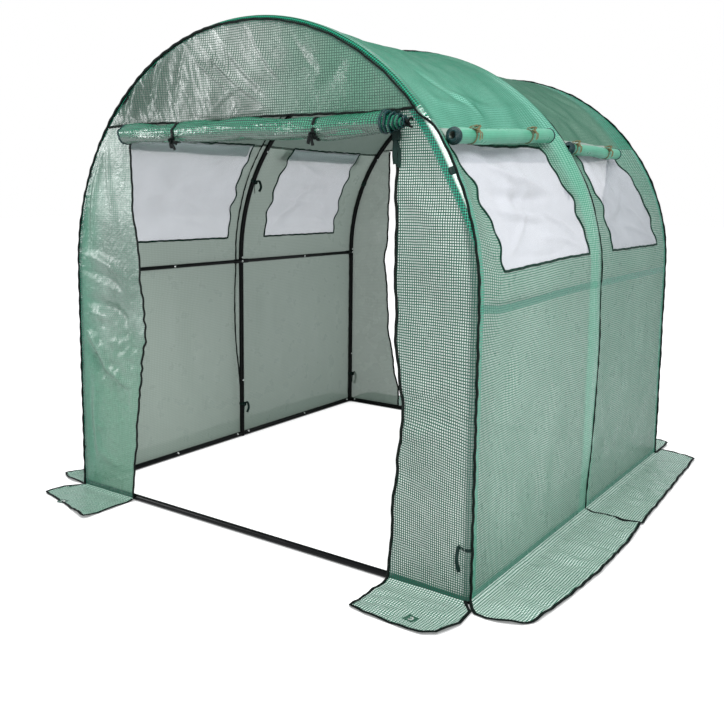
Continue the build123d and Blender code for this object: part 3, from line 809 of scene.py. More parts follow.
# Creases of the lunettes: (x, z) at either end, then width and height
LUNETTE_FOLDS = [
    (-0.60, 1.92, -0.74, 1.66, 0.020, 0.016),
    (-0.54, 1.95, -0.66, 1.66, 0.018, -0.018),
    (-0.47, 1.97, -0.60, 1.65, 0.022, 0.018),
    (-0.40, 1.98, -0.52, 1.65, 0.018, -0.018),
    (-0.33, 1.99, -0.46, 1.66, 0.016, 0.014),
    (-0.27, 1.95, -0.36, 1.66, 0.014, -0.010),
    (-0.56, 1.88, -0.48, 1.70, 0.009, 0.007),
    (-0.36, 2.00, 0.02, 1.68, 0.007, 0.008),
    (-0.28, 2.00, 0.16, 1.64, 0.009, 0.010),
    (-0.07, 1.90, -0.06, 1.76, 0.006, 0.008),
    (-0.12, 1.88, -0.16, 1.78, 0.006, -0.006),
    (0.02, 1.74, -0.14, 1.66, 0.007, 0.007),
    (-0.16, 2.00, 0.20, 1.66, 0.016, 0.009),
    (0.02, 2.00, 0.22, 1.72, 0.012, 0.008),
    (0.20, 1.95, 0.36, 1.76, 0.016, -0.006),
    (-0.30, 1.66, 0.16, 1.655, 0.010, 0.008),
    (0.36, 1.70, 0.50, 1.84, 0.026, -0.006),
]


def seam_line(x):
    """Height of the door seam, nearly level."""
    return SEAM_Z - 0.002 + 0.003 * np.sin(x * 9)


def lunette_place(U, V, end):
    """U is x and V runs from 0 at the seam to 1 at the arch."""
    top = SPRING + np.sqrt(np.clip(ARCH_R**2 - U**2, 0, None))
    z = seam_line(U) * (1 - V) + top * V
    edge = np.sin(math.pi * np.clip(V, 0, 1)) ** 0.6 * smooth(top - SEAM_Z, 0.0, 0.08)
    crumple = 0.0016 * waves(U * 1.8 + z * 0.8, z * 0.4, 63, 0.05) * smooth(U, 0.15, -0.35)
    out = edge * (0.004 + 0.004 * waves(U, z, 61, 0.22) + crumple + folds(U, z, LUNETTE_FOLDS))
    return U, end * (END_Y - 0.001 + out), z


for end_name, end in ENDS.items():
    flat = (2 * SEAM_HALF, SPRING + ARCH_R - SEAM_Z)
    film_sheet(
        f"{end_name}_lunette_film", steps(-SEAM_HALF + 0.002, SEAM_HALF - 0.002, size=0.0045),
        np.linspace(0, 1, 84), lambda U, V: lunette_place(U, V, end), lunette_film, flat, "stretched",
        [f"{end_name}_crown_bow"], [f"{end_name}_lunette"], slot="cover_clear",
        area=flat[0] * flat[1] * SEGMENT_SHARE, uv=lambda U, V: lunette_place(U, V, end)[::2], flip=end > 0)

# Door edges of the end panels: (height, how far the edge is from the opening's even line)
DOOR_EDGE = {
    ("front", "left"): [(0, 0.009), (0.28, -0.025), (0.55, -0.059), (0.77, -0.097), (1.03, -0.068),
                        (1.31, -0.033), (1.7, -0.02)],
    ("front", "right"): [(0, 0.030), (0.30, 0.049), (0.44, 0.061), (0.57, 0.084), (0.72, 0.066),
                         (0.86, 0.049), (1.12, 0.042), (1.7, 0.039)],
    ("rear", "left"): [(0.12, -0.032), (0.29, 0.012), (0.56, 0.055), (0.75, 0.062), (0.93, 0.087),
                       (1.07, 0.067), (1.32, 0.061), (1.65, 0.056)],
    ("rear", "right"): [(0, 0.0), (0.5, 0.03), (0.9, -0.01), (1.7, 0.02)],
}
# Creases of the end panels: (way out from the middle, z) at either end, then width and height
LEFT_PANEL_FOLDS = [
    (0.950, 1.07, 0.680, 0.985, 0.016, 0.026),
    (0.955, 1.00, 0.680, 0.93, 0.014, -0.022),
    (0.960, 0.87, 0.660, 0.80, 0.022, -0.030),
    (0.955, 0.80, 0.700, 0.78, 0.020, 0.020),
    (0.955, 0.74, 0.790, 0.57, 0.020, 0.034),
    (0.960, 0.68, 0.830, 0.52, 0.022, -0.034),
    (0.830, 0.58, 0.660, 0.50, 0.014, 0.026),
    (0.900, 0.10, 0.930, 0.56, 0.022, -0.026),
    (0.870, 0.14, 0.880, 0.50, 0.016, 0.016),
    (0.930, 1.05, 0.800, 1.62, 0.024, -0.026),
    (0.890, 1.05, 0.770, 1.60, 0.018, 0.018),
    (0.830, 0.30, 0.900, 0.31, 0.014, 0.014),
    (0.720, 0.14, 0.880, 0.20, 0.016, 0.014),
    (0.720, 1.20, 0.760, 1.60, 0.014, 0.012),
]
RIGHT_PANEL_FOLDS = [
    (0.700, 0.54, 0.960, 0.60, 0.030, 0.014),
    (0.700, 0.66, 0.960, 0.68, 0.026, -0.010),
    (0.680, 0.40, 0.920, 0.46, 0.030, -0.007),
    (0.700, 1.42, 0.920, 1.20, 0.034, 0.010),
    (0.740, 1.10, 0.860, 0.98, 0.040, -0.006),
    (0.720, 1.45, 0.860, 1.58, 0.020, -0.006),
]


def door_edge(z, end_name, side_name):
    wave = 0.0022 * np.sin(z * 23 + len(side_name)) + 0.0016 * np.sin(z * 41)
    return DOOR_X + profile(z, DOOR_EDGE[end_name, side_name]) + wave


def panel_place(U, V, end_name, side_name):
    """U from 0 at the door to 1 at the tube, then on round the tube by its angle; V is the height."""
    side, end = SIDES[side_name], ENDS[end_name]
    angle = np.where(V > SPRING, np.arcsin(np.clip((V - SPRING) / ARCH_R, 0, 1)), 0)
    across = np.clip(U, 0, 1)
    x = door_edge(V, end_name, side_name) * (1 - across) + ARCH_R * np.cos(angle) * across
    creases = RIGHT_PANEL_FOLDS if side * end < 0 else LEFT_PANEL_FOLDS
    free = np.sin(math.pi / 2 * (1 - across)) ** 0.7 * smooth(across, 1.0, 0.85)
    free = free * smooth(V, SEAM_Z, SEAM_Z - 0.15) * (0.35 + 0.65 * smooth(V, 0.05, 0.25))
    seed = 71 + side + 3 * end
    crumple = 0.0040 * waves(x, V, seed + 4, 0.05) * bump(V, 0.66, 0.26) * (side * end > 0)
    swell = 0.006 * waves(x, V, seed, 0.3) * smooth(across, -0.1, 0.3)
    out = free * (0.003 + swell + crumple + folds(x, V, creases))
    past = U > 1
    turn = math.pi / 2 - np.clip(U - 1, 0, None)
    reach = ARCH_R + WRAP_R * np.cos(turn)
    bent_y = end * (ARCH_Y + WRAP_R * np.sin(turn))
    bent_z = np.where(V > SPRING, SPRING + reach * np.sin(angle), V)
    flat_y = end * (ARCH_Y + TUBE_R + FILM_GAP + out)
    bent_x = side * reach * np.cos(angle)
    return np.where(past, bent_x, side * x), np.where(past, bent_y, flat_y), np.where(past, bent_z, V)


def panel_uv(U, V, end_name, side_name):
    """The panel's flat x and height; round the tube they run on outward."""
    x, _, z = panel_place(np.clip(U, 0, 1), V, end_name, side_name)
    angle = np.arcsin(np.clip((V - SPRING) / ARCH_R, 0, 1))
    past = WRAP_R * np.clip(U - 1, 0, None)
    skew = 0.18 * bump(V, 0.45, 0.3) * (SIDES[side_name] * ENDS[end_name] < 0)
    return np.abs(x) + past * np.cos(angle), z + past * np.sin(angle) + skew * (np.abs(x) - DOOR_X)


for end_name, end in ENDS.items():
    for side_name, side in SIDES.items():
        wrap = 1 + np.linspace(0, math.pi / 2 - WALL_TURN, 10)[1:]
        width = ARCH_R - DOOR_X + 0.02
        film_sheet(
            f"{end_name}_{side_name}_panel_film", np.concatenate([np.linspace(0, 1, 36), wrap]),
            steps(FOOT_S, SPRING, SEAM_Z, size=0.0125), lambda U, V: panel_place(U, V, end_name, side_name),
            lit_film if side * end < 0 else shaded_film, (width + 0.05, SEAM_Z), "hung",
            [f"{end_name}_legs", f"{end_name}_shoulder_bows"], [f"{end_name}_{side_name}_panel"],
            slot="cover_clear", area=width * SEAM_Z * 0.9,
            uv=lambda U, V: panel_uv(U, V, end_name, side_name), flip=side * end > 0)

# ---------------------------------------------------------------- skirts


def along_knots(u, knots):
    """x and y of an outline given as (share, x, y) corners."""
    share, x, y = zip(*knots)
    return np.interp(u, share, x), np.interp(u, share, y)


EYELETS = [mount["pos_m"] for mount in frame["record"]["mounts"] if "eyelet" in mount["name"]]
GROUND = 0.0022  # height of a skirt that lies flat


def settle(U, V, base, tip, seed):
    """A skirt: V runs from its sewn edge (base) down to the ground and flat on it to its free edge (tip)."""
    bx, by, bz = base
    tx, ty = tip
    across = np.hypot(tx - bx, ty - by)
    ease = V + 0.10 * V * (1 - V)
    x = bx + (tx - bx) * ease
    y = by + (ty - by) * ease
    run = across * V
    down = np.clip(1 - smooth(run, -0.004, 0.03), 0, 1)
    calm = 1 - sum(bump(np.hypot(x - spot[0], y - spot[1]), 0, 0.05) for spot in EYELETS)
    loose = smooth(run, 0.02, 0.09) * np.clip(calm, 0, 1)
    ripple = np.abs(waves(x, y, seed, 0.16, 7)) * 0.0045 + np.abs(waves(x, y, seed + 1, 0.07, 5)) * 0.0016
    edge = smooth(V, 0.7, 1.0) * (0.004 + 0.004 * waves(U, V * 0, seed + 2, 0.35, 5))
    return x, y, GROUND + (bz - GROUND) * down + loose * (ripple + np.abs(edge) * 0.8)


# Free edges of the skirts on the ground: (share of the sewn edge, x, y)
SIDE_TIPS = {
    ("right", "front"): [(0, 1.235, -0.02), (0.18, 1.248, -0.20), (0.52, 1.253, -0.56),
                         (0.84, 1.231, -0.88), (0.93, 1.213, -1.044), (0.96, 1.18, -1.085),
                         (0.985, 1.093, -1.118), (1, 1.036, -1.11)],
    ("right", "rear"): [(0, 1.235, 0.0), (0.45, 1.213, 0.47), (0.93, 1.181, 1.077), (0.96, 1.13, 1.103),
                        (1, 0.997, 1.137)],
    ("left", "front"): [(0, -1.20, 0.0), (0.5, -1.18, -0.5), (0.88, -1.161, -0.928),
                        (0.96, -1.187, -1.024), (0.985, -1.088, -1.059), (1, -1.027, -1.052)],
    ("left", "rear"): [(0, -1.21, 0.03), (0.5, -1.20, 0.5), (0.9, -1.20, 1.04), (0.97, -1.13, 1.12),
                       (1, -1.01, 1.12)],
}
END_TIPS = {
    ("front", "right"): [(0, 0.682, -1.306), (0.22, 0.748, -1.317), (0.68, 0.903, -1.323),
                         (0.84, 0.96, -1.322), (0.92, 1.005, -1.292), (0.97, 1.028, -1.198),
                         (1, 1.017, -1.108)],
    ("front", "left"): [(0, -0.651, -1.334), (0.1, -0.68, -1.325), (0.5, -0.844, -1.274),
                        (0.93, -1.043, -1.233), (0.97, -1.03, -1.15), (1, -1.0, -1.07)],
    ("rear", "right"): [(0, 0.66, 1.32), (0.85, 0.95, 1.315), (0.95, 0.998, 1.26), (1, 0.99, 1.12)],
    ("rear", "left"): [(0, -0.65, 1.32), (0.85, -0.96, 1.315), (0.95, -1.0, 1.26), (1, -0.99, 1.11)],
}


def side_skirt_place(side_name, end_name):
    side, end = SIDES[side_name], ENDS[end_name]

    def place(U, V):
        y = SEAM_PAST_MIDDLE + (end * (ARCH_Y + 0.004) - SEAM_PAST_MIDDLE) * U
        base = (side * COVER_R, y, FOOT_S + 0 * U)
        return settle(U, V, base, along_knots(U, SIDE_TIPS[side_name, end_name]), 83 + side + 4 * end)

    return place


def end_skirt_place(side_name, end_name):
    def place(U, V):
        base = panel_place(U, FOOT_S + 0 * U, end_name, side_name)
        return settle(U, V, base, along_knots(U, END_TIPS[end_name, side_name]), 97 + SIDES[side_name])

    return place


SKIRTS = []  # (name, place, flat size, node, flip)
for side_name, side in SIDES.items():
    for end_name, end in ENDS.items():
        SKIRTS.append((f"{side_name}_skirt_{end_name}", side_skirt_place(side_name, end_name),
                       (BAY + 0.03, 0.245), f"{side_name}_skirts", side * end > 0))
        SKIRTS.append((f"{end_name}_skirt_{side_name}", end_skirt_place(side_name, end_name),
                       (0.36, 0.30), f"{end_name}_skirts", side * end < 0))

for name, place, flat, node, flip in SKIRTS:
    u = np.linspace(0, 1, int(flat[0] / 0.010))
    film_sheet(name, u, np.linspace(0, 1, 28), place, skirt_film, flat, "laid", ["floor"], [node],
               uv=lambda U, V: place(U, V)[:2], flip=flip)

# ---------------------------------------------------------------- tapes


def traced(place, corners):
    """Points of a surface, 12 mm or so apart, along straight runs between (U, V) corners."""
    u, v = [], []
    for (u0, v0), (u1, v1) in zip(corners, corners[1:]):
        a = np.array(place(np.array([[u0]]), np.array([[v0]]))).ravel()
        b = np.array(place(np.array([[u1]]), np.array([[v1]]))).ravel()
        n = max(2, int(np.linalg.norm(b - a) / 0.012))
        u += list(np.linspace(u0, u1, n, endpoint=False))
        v += list(np.linspace(v0, v1, n, endpoint=False))
    u.append(corners[-1][0])
    v.append(corners[-1][1])
    points = place(np.array([u]), np.array([v]))
    return np.stack([np.broadcast_to(c, (1, len(u)))[0] for c in points], -1)


SEAM_WANDER = 0.0016  # of the tapes on the arches


def jitter(path, seed, amount):
    """The small wander of a sewn tape."""
    draw = np.random.default_rng(seed)
    run = np.concatenate([[0], np.cumsum(np.linalg.norm(np.diff(path, axis=0), axis=1))])
    shift = np.zeros_like(path)
    for axis in range(3):
        for size in (0.31, 0.13, 0.06):
            shift[:, axis] += np.sin(run * 2 * math.pi / size + draw.uniform(0, 6.28)) * amount / 2
    return path + shift


def arch_tape(end):
    """Path, normals and width of an end seam's tape; over the front crown it lies on the tube's far side."""
    count = 210
    s = np.concatenate([np.linspace(0.006, GIRTH, count), np.linspace(GIRTH, 0.006, count)[1:]])
    side = np.where(np.arange(len(s)) < count, 1, -1)
    above = smooth(s, FLAP_S - 0.06, FLAP_S + 0.05)
    angle = arch_angle(s)
    on_left = smooth(side * np.cos(angle), 0.1, -0.4)
    wall_turn, roof_turn, slim, stand = WALL_TURN, 0.1, 0, 0
    if end < 0:
        wall_turn, roof_turn = WALL_TURN + 0.75 * on_left, ROOF_TURN - 0.5 * on_left
        slim, stand = 0.3 * above * (1 - on_left), 0.002 * above
    turn = wall_turn * (1 - above) + roof_turn * above
    tube = TUBE_R + FILM_GAP + 0.0022 + stand
    reach = ARCH_R + tube * np.cos(turn)
    z = np.where(s < SPRING, s, SPRING + reach * np.sin(angle))
    path = np.stack([side * reach * np.cos(angle), end * (ARCH_Y + tube * np.sin(turn)), z], -1)
    normals = [side * np.cos(angle) * np.cos(turn), end * np.sin(turn), np.sin(angle) * np.cos(turn)]
    return path, np.stack(normals, -1), np.where(on_left > 0.5, 1, 0.85) - slim


for seed, (end_name, end) in enumerate(ENDS.items(), 5):
    path, normals, width = arch_tape(end)
    part = sweep_parts(jitter(path, seed, SEAM_WANDER), oval(0.012, 0.010), normals[0], width, normals)
    joined(f"{end_name}_arch_tape", [part], dark_tape, [f"{end_name}_arch_piping"])

half_girth = np.linspace(0.006, GIRTH, 200)


def middle_seam(side):
    """The seam beside the middle arch strays to the rear on the right side and to the front on the left."""
    hung = smooth(half_girth, 0.15, 0.7) * (1 - smooth(half_girth, GIRTH - 0.5, GIRTH))
    crown = smooth(half_girth, GIRTH - 0.62, GIRTH - 0.42)
    y = SEAM_PAST_MIDDLE * (1 - crown) + side * 0.050 * hung
    return np.stack(cover_point(y, half_girth, side, 0.0035 * crown), -1)


path = np.concatenate([middle_seam(1), middle_seam(-1)[::-1][1:]])
normals = np.concatenate([cover_normal(half_girth, 1), cover_normal(half_girth, -1)[::-1][1:]])
part = sweep_parts(jitter(path, 9, SEAM_WANDER), oval(0.0090, 0.0088), (1, 0, 0), normals=normals)
joined("middle_arch_tape", [part], dark_tape, ["middle_arch_piping"])

edge_tapes = []


def add_edge_tape(path, normal, across, thick, seed, amount=0.001):
    normals = np.tile(np.array(normal, float), (len(path), 1))
    edge_tapes.append(sweep_parts(jitter(path, seed, amount), oval(across, thick), normal, normals=normals))


for name, place, *_ in SKIRTS:
    add_edge_tape(traced(place, [(0, 0.02), (0, 1), (1, 1), (1, 0.0)]), (0, 0, 1), 0.012, 0.0042, len(name))

for end_name, end in ENDS.items():
    for side_name, side in SIDES.items():
        heights = np.linspace(FOOT_S, SEAM_Z - 0.01, 150)
        x, y, z = panel_place(0 * heights, heights, end_name, side_name)
        add_edge_tape(np.stack([x, y + end * 0.001, z], -1), (0, end, 0), 0.012, 0.0050, 13 + side)
    x = np.linspace(-SEAM_HALF, SEAM_HALF, 140)
    path = np.stack([x, end * (END_Y + 0.0015) + 0 * x, seam_line(x)], -1)
    add_edge_tape(path, (0, end, 0), 0.009, 0.0050, 17, 0.0015)
joined("edge_tapes", edge_tapes, dark_tape)

bindings = []
for side_name, side in SIDES.items():
    for end_name, end in ENDS.items():
        low, high = WINDOW_SPAN[end]
        foot_s, top_s = WINDOW_S[side]
        corners = [(low, top_s), (low, foot_s), (high, foot_s), (high, top_s), (low, top_s)]
        path = traced(lambda U, V: cover_point(U, V, side), corners)
        rise = np.arctan2(path[:, 2] - SPRING, np.abs(path[:, 0]))
        normals = cover_normal(np.clip(SPRING + COVER_R * rise, SPRING, None), side)
        wandering = jitter(path, 19 + side + end, 0.0013)
        bindings.append(sweep_parts(wandering, oval(0.0100, 0.0080), (side, 0, 0.3), normals=normals))
joined("window_edge_tapes", bindings, green_tape, ["window_bindings"])

# ---------------------------------------------------------------- rolled flaps


SKYWARD = np.array((0, 0, 1.0))


def offset(base, axes, *by):
    """base moved by so much along each of the axes."""
    return base + sum(axis * distance for axis, distance in zip(axes, by))


def roll_radius(t, turns_in, phi, spec):
    """Radius of a rolled flap: less with each turn, nipped by its ties and creased along its length."""
    base = spec["radius"] - spec["pitch"] * turns_in
    nip = sum(0.10 * bump(t, tie, spec["nip"]) for tie in spec["ties"])
    u, seed = t * spec["length"], spec["seed"]
    dents = 0.035 * waves(u * 0.35, phi * 0.03, seed, 0.11) + 0.03 * waves(u, phi * 0.05, seed + 1, 0.2)
    crease = spec["crease"] * (np.abs(waves(u * 0.12, phi * 0.035, seed + 2, 0.05)) - 0.8)
    return base * (1 - nip + dents + crease * 0.05)


def roll_sag(spec, share):
    """A roll hangs a little between its middle and either end."""
    return spec["sag"] * (1 - np.cos(4 * math.pi * share)) / 2


def roll_centre(spec, share):
    return (1 - share) * spec["start"] + share * spec["end"] - SKYWARD * roll_sag(spec, share)


def roll_place(spec):
    """U is the share along the roll; V is below 0 on the flat tail and then the turns wound."""
    start, out, up = spec["start"], spec["out"], spec["up"]
    run = spec["end"] - start
    along = run / np.linalg.norm(run)

    def place(U, V):
        turns_in = np.clip(V, 0, None)
        phi = math.pi + 2 * math.pi * turns_in
        radius = roll_radius(U, turns_in, phi, spec)
        wander = spec["wander"] * np.sin(U * 7 + spec["seed"])
        tail = np.clip(-V, 0, 1)
        cone = np.clip(turns_in, 0, spec["cone_turns"])
        cone = cone * (spec["cone_end"] * smooth(U, 0.93, 1) - spec["cone_start"] * smooth(U, 0.07, 0))
        point = start + run * U[..., None] - SKYWARD * roll_sag(spec, U)[..., None] + up * wander[..., None]
        point = point + out * (radius * np.cos(phi))[..., None] + up * (radius * np.sin(phi))[..., None]
        point = point + up * (tail * spec["tail"])[..., None] - out * (0.0015 * tail)[..., None]
        return np.moveaxis(point + along * cone[..., None], -1, 0)

    return place


ring_parts, ribbon_parts, jute_parts, strap_parts = [], [], [], []


def rolled_flap(name, spec, material, nodes, flat, flip=False):
    """A flap wound into a roll, its ends stepped where the bound edge of each turn shows."""
    spec["length"] = float(np.linalg.norm(spec["end"] - spec["start"]))
    place = roll_place(spec)
    around = 2 * math.pi * spec["radius"]
    u = np.linspace(0, 1, int(spec["length"] / 0.009))
    v = np.concatenate([[-1, -0.66, -0.33], np.linspace(0, spec["turns"], spec["turns"] * 26 + 1)])
    film_sheet(name, u, v, place, material, flat, "folded", spec["rests_on"], nodes,
               uv=lambda U, V: (U * spec["length"], V * around), flip=flip)
    for share, depth in ((0.0, spec["start_rings"]), (1.0, spec["end_rings"])):
        v = np.linspace(0, depth, int(depth * 36))
        path = place(np.full(len(v), share), v).T
        ring_parts.append(sweep_parts(path, oval(0.011, 0.0056, 8), spec["out"]))
    return place


def ribbon(parts, points, normal, across, thick):
    parts.append(sweep_parts(spline(points), oval(across, thick, 8), normal))


def knot(parts, centre, out, up, size, across, thick):
    """An overhand knot seen from outside, drawn as a trefoil."""
    t = np.linspace(0, 2 * math.pi, 56)
    a = (np.sin(t) + 2 * np.sin(2 * t)) / 3
    b = (np.cos(t) - 2 * np.cos(2 * t)) / 3
    c = -np.sin(3 * t) * 0.45
    path = centre + size * (np.cross(up, out) * a[:, None] + up * b[:, None] + out * c[:, None])
    parts.append(sweep_parts(path, oval(across, thick, 8), out))


def loop_round(parts, place, share, grow, across, thick, centre):
    """A band once round a roll, a little outside it."""
    turn = np.linspace(0, 1, 49)
    away = place(np.full(len(turn), share), turn).T - centre
    length = np.linalg.norm(away, axis=1, keepdims=True)
    path = centre + away * (1 + grow / length)
    path[-1] = path[0]
    parts.append(sweep_parts(path, oval(across, thick, 8), away[0], normals=away / length))


along, up = np.array((1.0, 0, 0)), SKYWARD
for end_name, end in ENDS.items():
    axis_y = end * (END_Y + 0.0445)
    start, stop = np.array((-0.60, axis_y, SEAM_Z - 0.044)), np.array((0.660, axis_y, SEAM_Z - 0.048))
    out = np.array((0, end, 0.0))
    spec = {
        "start": start, "end": stop, "out": out, "up": up, "radius": 0.041, "pitch": 0.0045, "turns": 8,
        "tail": 0.030, "ties": (0.246, 0.789), "nip": 0.018, "seed": 101, "crease": 3.4, "sag": 0.004,
        "wander": 0.002, "cone_turns": 6, "cone_end": 0.0135, "cone_start": -0.002, "start_rings": 1.0,
        "end_rings": 7.5, "rests_on": [f"{end_name}_lunette_film"],
    }
    place = rolled_flap(
        f"{end_name}_door_rolled", spec, door_film, [f"{end_name}_door_roll"], (1.27, 1.30), end > 0)
    axes = (along, out, up)
    for share, lean in zip(spec["ties"], (0.008, -0.008)):
        centre = roll_centre(spec, share)
        loop_round(ribbon_parts, place, share, 0.0026, 0.013, 0.0022, centre)
        front = offset(centre, axes, 0, 0.034, -0.028)
        knot(ribbon_parts, front + out * 0.006, out, up, 0.010, 0.012, 0.006)
        for reach, drop in ((lean + 0.010, -0.036), (lean - 0.010, -0.030), (lean + 0.022, -0.014)):
            bend = offset(front, axes, reach * 0.5, 0.008, drop * 0.35)
            ribbon(ribbon_parts, [front, bend, offset(front, axes, reach, 0.002, drop)], out, 0.014, 0.003)

    # What is tied off past the roll's end, and the straps hanging beside it
    tip = stop + along * 0.088
    knot(ribbon_parts, tip, along, up, 0.012, 0.008, 0.004)
    for bend, stop in (((0.014, 0, 0.012), (0.022, 0, 0.004)), ((0.010, 0, -0.014), (0.020, 0, -0.016))):
        ribbon(ribbon_parts, [tip, offset(tip, axes, *bend), offset(tip, axes, *stop)], out, 0.008, 0.002)
    hanger = np.array((0.685, end * (END_Y + 0.010), SEAM_Z - 0.004))
    for width, *places in (
        (0.034, (0, 0), (0, -0.05), (0.002, -0.10)),
        (0.020, (0, -0.08), (-0.004, -0.14), (0, -0.175)),
        (0.014, (0, -0.10), (0.014, -0.14), (0.012, -0.185)),
    ):
        ribbon(strap_parts, [offset(hanger, (along, up), *place) for place in places], out, width, 0.002)

# Axes of the window rolls: (from y, angle up the cover, to y, angle, radius, where the ties are)
ROLLS = {
    ("right", "front"): (-1.00, 0.553, -0.15, 0.616, 0.029, (-0.885, -0.375)),
    ("right", "rear"): (0.02, 0.567, 0.62, 0.570, 0.026, (0.055, 0.456)),
    ("left", "front"): (-0.98, 0.584, -0.11, 0.584, 0.026, (-0.72, -0.36)),
    ("left", "rear"): (0.165, 0.580, 0.89, 0.580, 0.026, (0.36, 0.70)),
}
along = np.array((0, 1.0, 0))
for (side_name, end_name), (y0, angle0, y1, angle1, radius, tied) in ROLLS.items():
    side = SIDES[side_name]
    middle_angle = (angle0 + angle1) / 2
    out = np.array((side * math.cos(middle_angle), 0, math.sin(middle_angle)))
    up = np.array((-side * math.sin(middle_angle), 0, math.cos(middle_angle)))
    reach = COVER_R + radius + (0.002 if side < 0 else -0.006)
    start, stop = (np.array((side * reach * math.cos(a), y, SPRING + reach * math.sin(a)))
                   for y, a in ((y0, angle0), (y1, angle1)))
    spec = {
        "start": start, "end": stop, "out": out, "up": up, "radius": radius, "pitch": 0.0042, "turns": 4,
        "tail": (FLAP_S - SPRING) - middle_angle * COVER_R, "ties": [(y - y0) / (y1 - y0) for y in tied],
        "nip": 0.02, "seed": 131 + len(side_name) + 2 * len(end_name), "crease": 0.5, "sag": 0.003,
        "wander": 0.001, "cone_turns": 3, "cone_end": 0.0, "cone_start": 0.006, "start_rings": 3.5,
        "end_rings": 1.2, "rests_on": [f"{side_name}_wall_{end_name}"],
    }
    place = rolled_flap(f"{side_name}_flap_{end_name}", spec, roll_film, [f"{side_name}_window_rolls"],
                        (y1 - y0, 0.60), side < 0)
    axes = (along, out, up)
    for share in spec["ties"]:
        middle = roll_centre(spec, share)
        loop_round(jute_parts, place, share, 0.0022, 0.0075, 0.0032, middle)
        front = middle + out * (radius + 0.003)
        knot(jute_parts, front + out * 0.002, out, up, 0.0085, 0.0065, 0.0036)
        for lean, rise, bulge, sink in ((0.018, 0.022, 0.013, -0.010), (-0.017, 0.020, 0.013, -0.010),
                                        (0.012, -0.030, 0.007, -0.006), (-0.010, -0.036, 0.007, -0.006)):
            bend = offset(front, axes, lean * 0.7, bulge, rise * 0.5)
            ribbon(jute_parts, [front, bend, offset(front, axes, lean, sink, rise)], out, 0.0072, 0.0032)

joined("roll_end_tapes", ring_parts, ring_cloth)
joined("door_ribbon_ties", ribbon_parts, ribbon_cloth,
       ["front_door_ribbons", "rear_door_ribbons"])
joined("window_twine_ties", jute_parts, jute, ["window_ties"])

# ---------------------------------------------------------------- straps from the cover to the tubes, bolts

ARCHES_Y = (-ARCH_Y, 0.0, ARCH_Y)
LOW_STRAP_Z = 0.185
HIGH_STRAP_ANGLE = 0.44  # up from the spring of the arch


def tube_strap(centre, tangent, inward, seed, tails=True):
    """A strap round a tube; with tails it has a knot on the inner side and two hanging ends."""
    draw = np.random.default_rng(seed)
    centre, tangent, inward = (np.array(vector, float) for vector in (centre, tangent, inward))
    side = np.cross(tangent, inward)
    a = np.linspace(0, 2 * math.pi, 33)
    radial = inward * np.cos(a)[:, None] + side * np.sin(a)[:, None]
    band = oval(0.014 if tails else 0.028, 0.0026, 8)
    strap_parts.append(sweep_parts(centre + radial * (TUBE_R + 0.0012), band, inward, normals=radial))
    if not tails:
        return
    front = centre + inward * (TUBE_R + 0.003) + side * 0.004
    knot(strap_parts, front, inward, tangent, 0.011, 0.010, 0.004)
    axes = (inward, side, -SKYWARD)
    for way in (1, -1):
        length = draw.uniform(0.05, 0.085)
        spread = draw.uniform(0.012, 0.03) * way
        hang = [(0.010, spread * 0.6, -0.006), (0.012, spread, length * 0.45), (0.006, spread * 0.7, length)]
        ribbon(strap_parts, [front, *(offset(front, axes, *by) for by in hang)], inward, 0.013, 0.0022)


for k, y in enumerate(ARCHES_Y):
    for side in (-1, 1):
        tube_strap((side * ARCH_R, y, LOW_STRAP_Z), (0, 0, 1), (-side, 0, 0), 20 + 10 * k + side)
        run, rise = side * math.cos(HIGH_STRAP_ANGLE), math.sin(HIGH_STRAP_ANGLE)
        tube_strap((ARCH_R * run, y, SPRING + ARCH_R * rise), (-side * rise, 0, abs(run)), (-run, 0, -rise),
                   25 + 10 * k + side, tails=y == 0)
joined("cover_straps", strap_parts, strap_cloth)

bolt_parts = []
# Rings of a domed bolt head and its washer: (radius, height)
BOLT_RINGS = [(0.0024, 0.0028), (0.0042, 0.0018), (0.0048, 0.0004), (0.0048, 0.0), (0.0060, 0.0),
              (0.0060, -0.0012)]


def bolt(point, out, tube=TUBE_R):
    """A domed bolt head on a washer, standing on a tube."""
    out = np.array(out, float)
    side = np.cross(out, (0.3, 0.5, 0.81))
    side /= np.linalg.norm(side)
    third = np.cross(out, side)
    centre = np.array(point, float) + out * tube
    count = 16
    a = np.linspace(0, 2 * math.pi, count, endpoint=False)
    circle = side * np.cos(a)[:, None] + third * np.sin(a)[:, None]
    points = np.concatenate([centre + out * height + radius * circle for radius, height in BOLT_RINGS])
    faces = [tuple(f) for f in grid_faces(len(BOLT_RINGS), count, wrap=True)]
    faces.append(tuple(range(count - 1, -1, -1)))
    bolt_parts.append((points, faces, points[:, :2]))


RAIL_R = (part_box("left_rails")[1].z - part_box("left_rails")[0].z) / 2
# Where the screws of the crown joint and of the foot joint sit
crown_angle = math.asin((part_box("middle_crown_bow")[0].z + 0.014 - SPRING) / ARCH_R)
joint_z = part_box("middle_feet")[1].z
for y in ARCHES_Y:
    for side in (-1, 1):
        bolt((side * ARCH_R, y, joint_z + 0.018), (-side, 0, 0))
        bolt((side * ARCH_R, y, RAIL_Z), (-side, 0, 0))
        for a in (crown_angle + 0.03, 0.0):
            direction = np.array((-side * math.cos(a), 0, -math.sin(a)))
            bolt(np.array((0, y, SPRING)) - direction * ARCH_R, direction)
for side in (-1, 1):
    for end in (-1, 1):
        bolt((side * ARCH_R, end * BAY / 2 + 0.03, RAIL_Z), (-side, 0, 0), RAIL_R)
        for y in (end * BAY / 2 + 0.03, end * 0.045, end * (BAY - 0.045)):
            bolt((side * ARCH_R, y, TUBE_R), (-side * 0.8, 0, 0.6))
        bolt((side * (ARCH_R - 0.045), end * ARCH_Y, TUBE_R), (0, -end * 0.8, 0.6))
joined("frame_bolts", bolt_parts, zinc)

